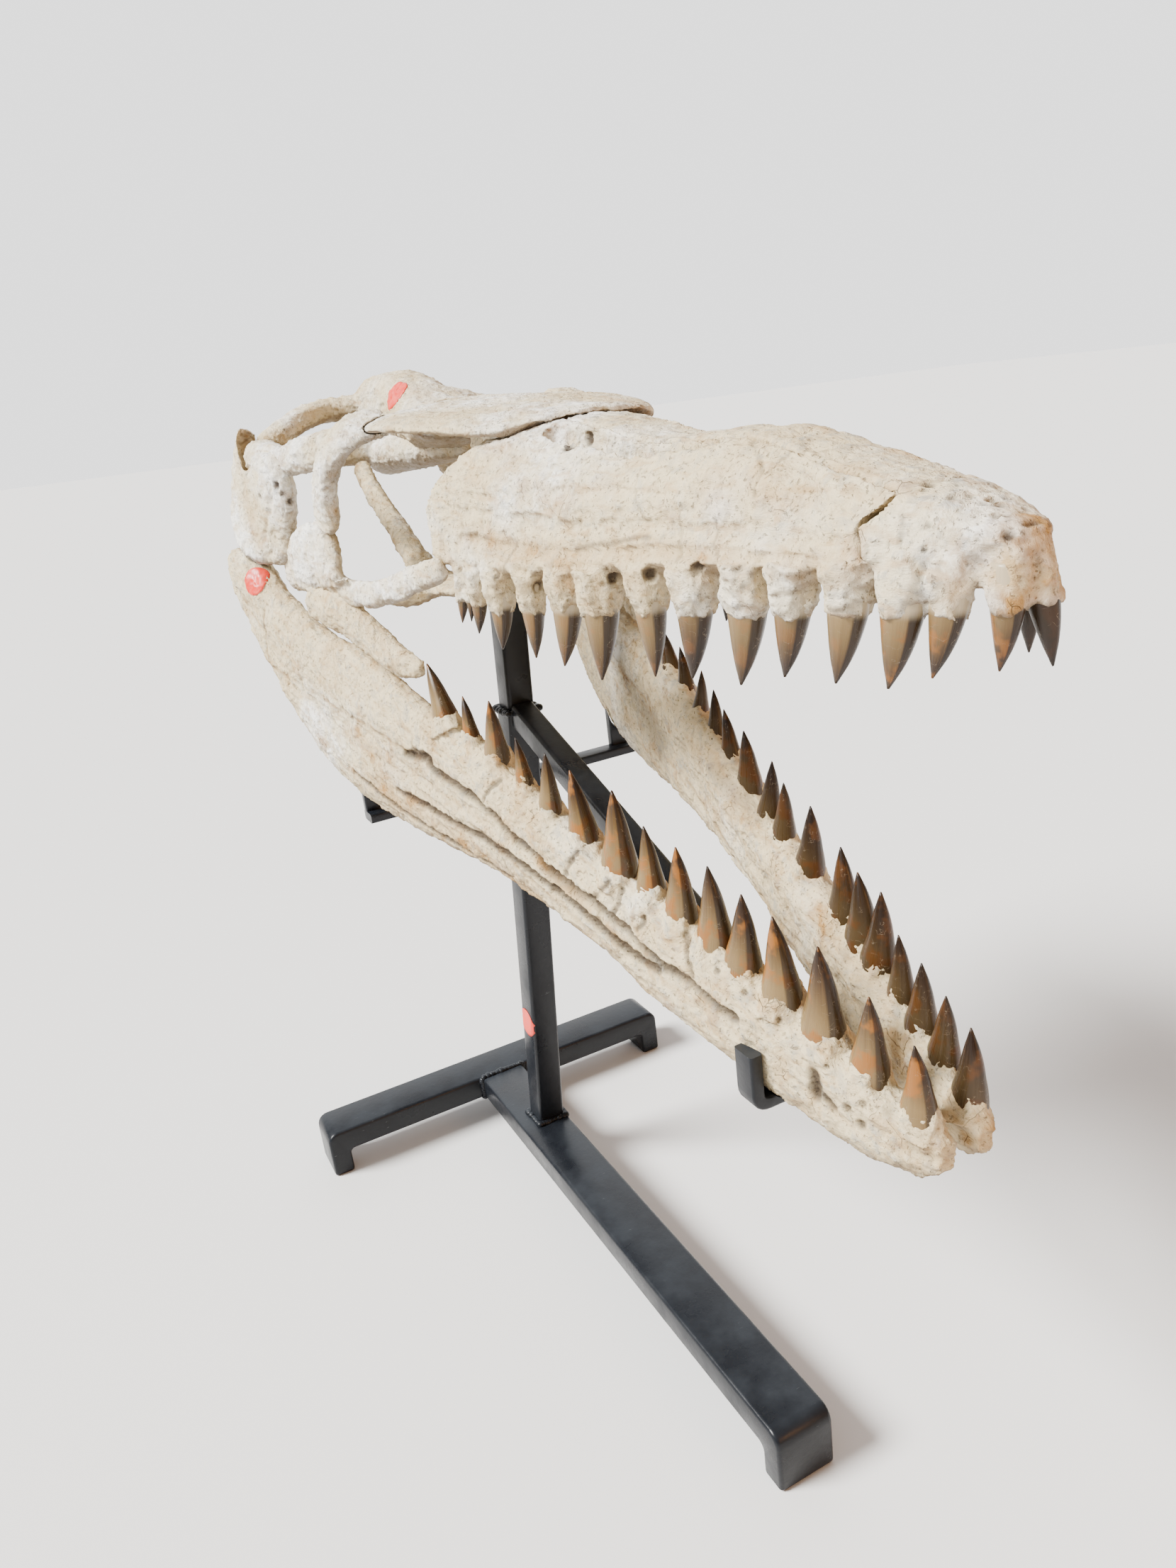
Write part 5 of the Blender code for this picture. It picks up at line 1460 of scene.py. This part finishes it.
def build_lower_jaw(bench):
    draw = random.Random(23)
    for label, side in SIDES.items():
        plan = lower_plan(side, LOWER_TEETH_RIGHT if side < 0 else LOWER_TEETH_LEFT, random.Random(71 + side))
        body = jaw_body(side)
        trim(body, sweep(QUADRATE_PLATE, side, up=(0, 1, 0), grow=GAP))
        jaw = fuse(f"jaw_{label}", body, *collars(plan, LOWER_COLLAR, draw))
        laid = side_marks(jaw, JAW_MARKS, side) + suture_lines(side, jaw_middle, JAW_SUTURES)
        if side > 0:
            laid += marks_from_photo(jaw, INNER_JAW_MARKS)
        nodes = [f"{bone}_{label}" for bone in ("dentary", "splenial", "surangular", "angular", "articular")]
        finish_bone(bench, jaw, nodes, laid, bench.jaw_bone, fibre_dip=JAW_DIP, fibre_length=0.06,
                    fibre_height=0.0014, fibre_width=0.0044)
        tooth_row(bench, f"lower_teeth_{label}", plan, draw, bench.lower_enamel, root_swell=0.30)
        hook = fuse(f"coronoid_bone_{label}", sweep(CORONOID, side))
        trim(hook, jaw_body(side, GAP))
        finish_bone(bench, hook, [f"coronoid_{label}"], (), bench.jaw_bone)


# Stand


def arc(centre, radius, start, end, steps=7):
    turns = np.radians(np.linspace(start, end, steps))
    return [(centre[0] + radius * math.cos(t), centre[1] + radius * math.sin(t)) for t in turns]


def smooth_edges(thing, angle=30):
    thing.data.shade_smooth()
    thing.data.set_sharp_from_angle(angle=math.radians(angle))
    return thing


def bevelled(thing, width):
    bevel = thing.modifiers.new("bevel", "BEVEL")
    bevel.width = width * BAR
    bevel.segments = 3
    bevel.limit_method = "ANGLE"
    bevel.angle_limit = math.radians(40)
    settle(thing)
    return smooth_edges(thing, 35)


def finish_steel(bench, piece, name, nodes):
    piece.name = name
    piece.data.name = name
    piece.data.materials.clear()
    piece.data.materials.append(bench.steel)
    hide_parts(*nodes)
    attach(piece, "root")
    return piece


def bar_outline(start, end, both_ends):
    """Side view of a floor bar whose ends turn down into its feet."""
    outer, inner, under = FOOT_BEND, FOOT_INNER_BEND, FOOT_HEIGHT
    line = arc((end - outer, BAR_TOP - outer), outer, 0, 90)
    if both_ends:
        line += arc((start + outer, BAR_TOP - outer), outer, 90, 180)
        line += [(start, 0.0), (start + FOOT_LENGTH, 0.0)]
        line += arc((start + FOOT_LENGTH + inner, under - inner), inner, 180, 90)
    else:
        line += [(start, BAR_TOP), (start, under)]
    line += arc((end - FOOT_LENGTH - inner, under - inner), inner, 90, 0)
    return line + [(end - FOOT_LENGTH, 0.0), (end, 0.0)]


def square_bar(start, end, width, corner=0.07):
    """A square tube with rounded edges from start to end."""
    start, end = Vector(start), Vector(end)
    along = (end - start).normalized()
    across = (Vector((0, 1, 0)) - along * along.y).normalized()
    deep = along.cross(across)
    outline = []
    inset = width / 2 - corner
    for turn, (sx, sy) in enumerate(((1, 1), (-1, 1), (-1, -1), (1, -1))):
        outline += arc((sx * inset, sy * inset), corner, 90 * turn, 90 * turn + 90, 5)
    return solid("bar", [[spot + across * a + deep * b for a, b in outline] for spot in (start, end)])


def filleted(corners, radius, steps=6):
    """A bent path with rounded corners."""
    points = [Vector(corners[0])]
    for before, corner, after in zip(corners, corners[1:], corners[2:]):
        before, corner, after = Vector(before), Vector(corner), Vector(after)
        into, out = (before - corner).normalized(), (after - corner).normalized()
        for k in range(steps + 1):
            t = k / steps
            points.append(corner + into * radius * (1 - t) ** 2 + out * radius * t ** 2)
    points.append(Vector(corners[-1]))
    return points


def strap(path, across, half_width, half_thick, corner=0.035):
    """A flat bar bent along a path, with rounded edges; across is the way its width runs."""
    rings = []
    across = Vector(across)
    outline = []
    for turn, (sx, sy) in enumerate(((1, 1), (-1, 1), (-1, -1), (1, -1))):
        outline += arc((sx * (half_width - corner), sy * (half_thick - corner)), corner, 90 * turn,
                       90 * turn + 90, 4)
    for k, spot in enumerate(path):
        along = (path[min(k + 1, len(path) - 1)] - path[max(k - 1, 0)]).normalized()
        rise = along.cross(across).normalized()
        rings.append([spot + across * a + rise * b for a, b in outline])
    return solid("strap", rings)


def build_base(bench):
    half = 0.5
    end = CROSS_BAR_HALF_LENGTH
    cross = prism(bar_outline(-end, end, True), -half, half, place=lambda a, b, c: (c, a, b))
    finish_steel(bench, bevelled(cross, BAR_EDGE_RADIUS), "stand_cross_tube",
                 ["stand_cross_bar", "stand_foot_right", "stand_foot_left"])
    long_bar = prism(bar_outline(half + GAP, LONG_BAR_FRONT, False), -half, half)
    finish_steel(bench, bevelled(long_bar, BAR_EDGE_RADIUS), "stand_long_tube",
                 ["stand_long_bar", "stand_foot_front"])


def build_uprights(bench):
    foot, joint = Vector(POST_FOOT), Vector(POST_JOINT)
    lean = (joint - foot).normalized()
    post = square_bar(foot - lean * 0.3, joint, POST_WIDTH)
    trim(post, block((-2, -3, 0), (9, 3, BAR_TOP + GAP)))
    finish_steel(bench, smooth_edges(post), "stand_post_tube", ["stand_post"])
    upper = square_bar(joint + lean * JOINT_GAP, UPPER_POST_TOP, UPPER_POST_WIDTH)
    trim(upper, frontal_body(GAP))
    finish_steel(bench, smooth_edges(upper), "stand_upper_tube", ["stand_upper_post"])
    arm = square_bar(joint, ARM_FRONT, ARM_WIDTH)
    room = square_bar(foot, joint + lean * 0.3, POST_WIDTH + 2 * GAP)
    upper_room = square_bar(joint, UPPER_POST_TOP, UPPER_POST_WIDTH + 2 * GAP)
    ahead = FRONT_REST_X - FRONT_REST_WIDTH / 2 - GAP
    trim(arm, room, upper_room, block((ahead, -1, 6), (14, 1, 9)))
    trim(arm, *[jaw_body(side, GAP) for side in SIDES.values()])
    finish_steel(bench, smooth_edges(arm), "stand_arm_tube", ["stand_arm"])


def build_rests(bench):
    half, thick = REAR_REST_WIDTH / 2, STRAP_THICK / 2
    for label, side in SIDES.items():
        path = [(REAR_REST_X, POST_JOINT[1] * 0.5, REAR_REST_Z),
                (REAR_REST_X, side * REAR_REST_REACH, REAR_REST_Z)]
        rest = strap([Vector(p) for p in path], (1, 0, 0), half, thick)
        prong_y = side * (REAR_REST_REACH - REAR_PRONG_LENGTH / 2)
        prong_x = REAR_REST_X - half + thick
        prong = strap([Vector((prong_x, prong_y, REAR_REST_Z - thick)),
                       Vector((prong_x, prong_y, REAR_PRONG_TOP))],
                      (0, 1, 0), REAR_PRONG_LENGTH / 2, thick)
        trim(rest, prong, operation="UNION")
        trim(rest, square_bar(POST_FOOT, POST_JOINT, POST_WIDTH + 2 * GAP), jaw_body(side, GAP))
        finish_steel(bench, smooth_edges(rest), f"stand_rear_hook_{label}", [f"stand_rear_rest_{label}"])
    reach = FRONT_PRONG_Y - thick
    corners = [(FRONT_REST_X, -reach, FRONT_PRONG_TOP), (FRONT_REST_X, -reach, FRONT_REST_Z),
               (FRONT_REST_X, reach, FRONT_REST_Z), (FRONT_REST_X, reach, FRONT_PRONG_TOP)]
    cradle = strap(filleted(corners, 0.16), (1, 0, 0), FRONT_REST_WIDTH / 2, thick)
    trim(cradle, jaw_body(1, GAP), jaw_body(-1, GAP))
    finish_steel(bench, smooth_edges(cradle), "stand_front_cradle", ["stand_front_rest"])


def ring_path(centre, half_x, half_y, steps=5):
    """A closed square path at one height."""
    corners = [(half_x, half_y), (-half_x, half_y), (-half_x, -half_y), (half_x, -half_y), (half_x, half_y)]
    points = []
    for one, two in zip(corners, corners[1:]):
        for k in range(steps):
            points.append(Vector(centre) + Vector((one[0] + (two[0] - one[0]) * k / steps,
                                                    one[1] + (two[1] - one[1]) * k / steps, 0)))
    return points + [points[0]]


def build_welds(bench):
    """Beads round the post's foot, along the joint of the floor bars and round the post's top."""
    half = POST_WIDTH / 2
    foot = Vector(POST_FOOT)
    joint = Vector(POST_JOINT)
    paths = [
        ring_path((foot.x, foot.y, BAR_TOP + 0.015), half + 0.02, half + 0.02),
        [Vector((0.5, y, BAR_TOP)) for y in np.linspace(-0.46, 0.46, 8)],
        [Vector((0.5, -0.5, z)) for z in np.linspace(BAR_TOP - 0.04, FOOT_HEIGHT + 0.04, 5)],
        [Vector((0.5, 0.5, z)) for z in np.linspace(BAR_TOP - 0.04, FOOT_HEIGHT + 0.04, 5)],
        ring_path((joint.x, joint.y, joint.z - 0.02), half + 0.03, half + 0.01),
    ]
    for number, path in enumerate(paths):
        mesh = bpy.data.meshes.new("weld_path")
        mesh.from_pydata([in_frame(p) for p in path], [(k, k + 1) for k in range(len(path) - 1)], [])
        welds = link(f"stand_weld_{number + 1}", mesh)
        grow_with(welds, bench.weld, bead=WELD_BEAD * BAR, spacing=WELD_BEAD * BAR * 0.7, seed=number + 3,
                  finish=bench.steel)
        welds.data.shade_smooth()
        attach(welds, "root")


# Red dots stuck on the bone and the post


def build_dots(bench):
    graph_pieces = {label: surface_tree(bpy.data.objects[label]) for label, pixel, half in DOTS}
    for number, (label, pixel, half) in enumerate(DOTS):
        tree = graph_pieces[label]
        centre, normal = seen_at(tree, pixel)
        if centre is None:
            continue
        side = normal.orthogonal().normalized()
        other = normal.cross(side)
        rings, spokes = 7, 40
        shape = bmesh.new()

        def spot(radius, turn, lift):
            over = centre + (side * math.cos(turn) + other * math.sin(turn)) * radius
            hit, hit_normal, index, distance = tree.ray_cast(over + normal * 0.01, -normal, 0.03)
            if hit is None:
                hit, hit_normal, index, distance = tree.find_nearest(over)
            return hit + normal * lift

        layers = []
        for lift in (0.05 * MM, 0.45 * MM):
            pole = shape.verts.new(spot(0.0, 0.0, lift))
            loops = []
            for ring in range(1, rings + 1):
                radius = half * MM * ring / rings
                loops.append([shape.verts.new(spot(radius, 2 * math.pi * k / spokes,
                                                   lift)) for k in range(spokes)])
            layers.append((pole, loops))
        for pole, loops in layers:
            for k in range(spokes):
                j = (k + 1) % spokes
                shape.faces.new((pole, loops[0][k], loops[0][j]))
                for one, two in zip(loops, loops[1:]):
                    shape.faces.new((one[k], two[k], two[j], one[j]))
        bottom, top = layers[0][1][-1], layers[1][1][-1]
        for k in range(spokes):
            j = (k + 1) % spokes
            shape.faces.new((bottom[k], bottom[j], top[j], top[k]))
        bmesh.ops.recalc_face_normals(shape, faces=shape.faces)
        mesh = bpy.data.meshes.new("red_dot")
        shape.to_mesh(mesh)
        shape.free()
        mesh.shade_smooth()
        mesh.materials.append(bench.dot)
        dot = link(f"red_dot_{number + 1}", mesh)
        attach(dot, "root")


# Studio


def area_light(name, place, target, size, power, colour=(1, 1, 1)):
    lamp = bpy.data.lights.new(name, "AREA")
    lamp.shape = "RECTANGLE"
    lamp.size, lamp.size_y = size
    lamp.energy = power
    lamp.color = colour
    thing = bpy.data.objects.new(name, lamp)
    bpy.context.scene.collection.objects.link(thing)
    thing.location = place
    thing.rotation_euler = (Vector(target) - Vector(place)).to_track_quat("-Z", "Y").to_euler()
    return thing


SKY_LOW = (0.22, 0.23, 0.25, 1.0)
SKY_HIGH = (0.62, 0.62, 0.64, 1.0)
SKY_WARM = (0.42, 0.22, 0.09, 1.0)
SKY_BACKDROP = (2.10, 2.10, 2.10, 1.0)
WARM_SIDE = (0.80, 0.60, 0.0)  # warm part of the room, ahead of the snout and to its left
BACKDROP_SIDE = (-0.90, 0.43, 0.0)  # bright wall behind the skull
SUN_FROM = (-0.25, -0.95, 0.90)
SUN_STRENGTH = 11.0
SUN_SPREAD = math.radians(22)


def build_studio():
    mesh = bpy.data.meshes.new("floor")
    mesh.from_pydata([(-FLOOR_HALF, -FLOOR_HALF, 0), (FLOOR_HALF, -FLOOR_HALF, 0),
                      (FLOOR_HALF, FLOOR_HALF, 0),
                      (-FLOOR_HALF, FLOOR_HALF, 0)], [], [(0, 1, 2, 3)])
    floor = link("floor", mesh)
    material, pen, shader = new_finish("pale_floor")
    shader.inputs["Base Color"].default_value = (0.78, 0.78, 0.775, 1.0)
    shader.inputs["Roughness"].default_value = 0.9
    shader.inputs["Specular IOR Level"].default_value = 0.1
    mesh.materials.append(material)
    world = bpy.data.worlds.new("studio")
    bpy.context.scene.world = world
    world.use_nodes = True
    pen = Pen(world.node_tree)
    sky = world.node_tree.nodes["Background"]
    toward = pen.node("ShaderNodeTexCoord").outputs["Generated"]
    height = pen.node("ShaderNodeSeparateXYZ", {0: toward}).outputs[2]
    front = pen.window(pen.vector("DOT_PRODUCT", toward, WARM_SIDE), 0.10, 0.70)
    behind = pen.window(pen.vector("DOT_PRODUCT", toward, BACKDROP_SIDE), 0.55, 0.75)
    colour = pen.blend(pen.window(height, 0.0, 0.6), SKY_LOW, SKY_HIGH)
    colour = pen.blend(front, colour, SKY_WARM)
    colour = pen.blend(behind, colour, SKY_BACKDROP)
    colour = pen.blend(pen.node("ShaderNodeLightPath").outputs["Is Camera Ray"], colour, SKY_BACKDROP)
    world.node_tree.links.new(colour, sky.inputs["Color"])
    sky.inputs["Strength"].default_value = 1.0
    lamp = bpy.data.lights.new("window_light", "SUN")
    lamp.energy = SUN_STRENGTH
    lamp.angle = SUN_SPREAD
    lamp.color = (1.0, 0.985, 0.95)
    sun = link("window_light", lamp)
    sun.rotation_euler = Vector(SUN_FROM).to_track_quat("Z", "Y").to_euler()
    area_light("warm_light", (1.7, 0.5, 0.75), (0.25, 0.0, 0.5), (0.5, 0.6), 9, (1.0, 0.50, 0.20))


def build_camera():
    right, above, ahead = camera_axes()
    data = bpy.data.cameras.new("photo_camera")
    data.sensor_width = SENSOR
    data.lens = SENSOR * FOCAL_PIXELS / max(PHOTO_SIZE)
    data.clip_start = 0.02
    camera = bpy.data.objects.new("photo_camera", data)
    bpy.context.scene.collection.objects.link(camera)
    turn = Matrix((right, above, -ahead)).transposed()
    camera.matrix_world = Matrix.Translation(in_frame(CAMERA_PLACE)) @ turn.to_4x4()
    bpy.context.scene.camera = camera


def set_bench():
    bench = Bench()
    bench.relief = bone_relief_tree()
    bench.teeth = tooth_tree()
    bench.weld = weld_tree()
    bone_looks = bone_colour_and_shade_group()
    enamel = enamel_group()
    bench.skull_bone = bone_finish("skull_bone", bone_looks, Cream_share=0.45, Tan_share=0.42, Grey_share=0.40,
                                   Streaks=0.16, Hairlines=0.45)
    bench.pale_bone = bone_finish("pale_bone", bone_looks, Cream_share=0.30, Tan_share=0.26, Grey_share=0.35,
                                  Streaks=0.14, Hairlines=0.35)
    bench.snout_bone = bone_finish("snout_bone", bone_looks, Cream_share=0.5, Tan_share=0.42, Grey_share=0.60,
                                   Streaks=0.10, Hairlines=0.5)
    bench.jaw_bone = bone_finish("jaw_bone", bone_looks, Cream_share=0.75, Tan_share=0.55, Grey_share=0.55,
                                 Grain_dip=JAW_DIP, Streaks=0.55, Hairlines=0.7)
    bench.enamel = tooth_finish("tooth_enamel", enamel, Front_shade=0.85, Warmth=0.25)
    bench.warm_enamel = tooth_finish("front_tooth_enamel", enamel, Front_shade=0.9, Warmth=0.6)
    bench.lower_enamel = tooth_finish("lower_tooth_enamel", enamel, Front_shade=0.75, Warmth=0.85,
                                      Pale_root=0.0)
    bench.steel = group_finish("black_steel_paint", paint_group(), bump_strength=0.18, bump_height=0.5 * MM,
                               specular=0.22, Scuffs=0.55, Dust=0.5)
    bench.dot = dot_finish()
    return bench


def main():
    bench = set_bench()
    build_face(bench)
    build_roof(bench)
    build_cheek_bones(bench)
    build_lower_jaw(bench)
    build_base(bench)
    build_uprights(bench)
    build_rests(bench)
    build_welds(bench)
    build_dots(bench)
    build_studio()
    build_camera()


main()
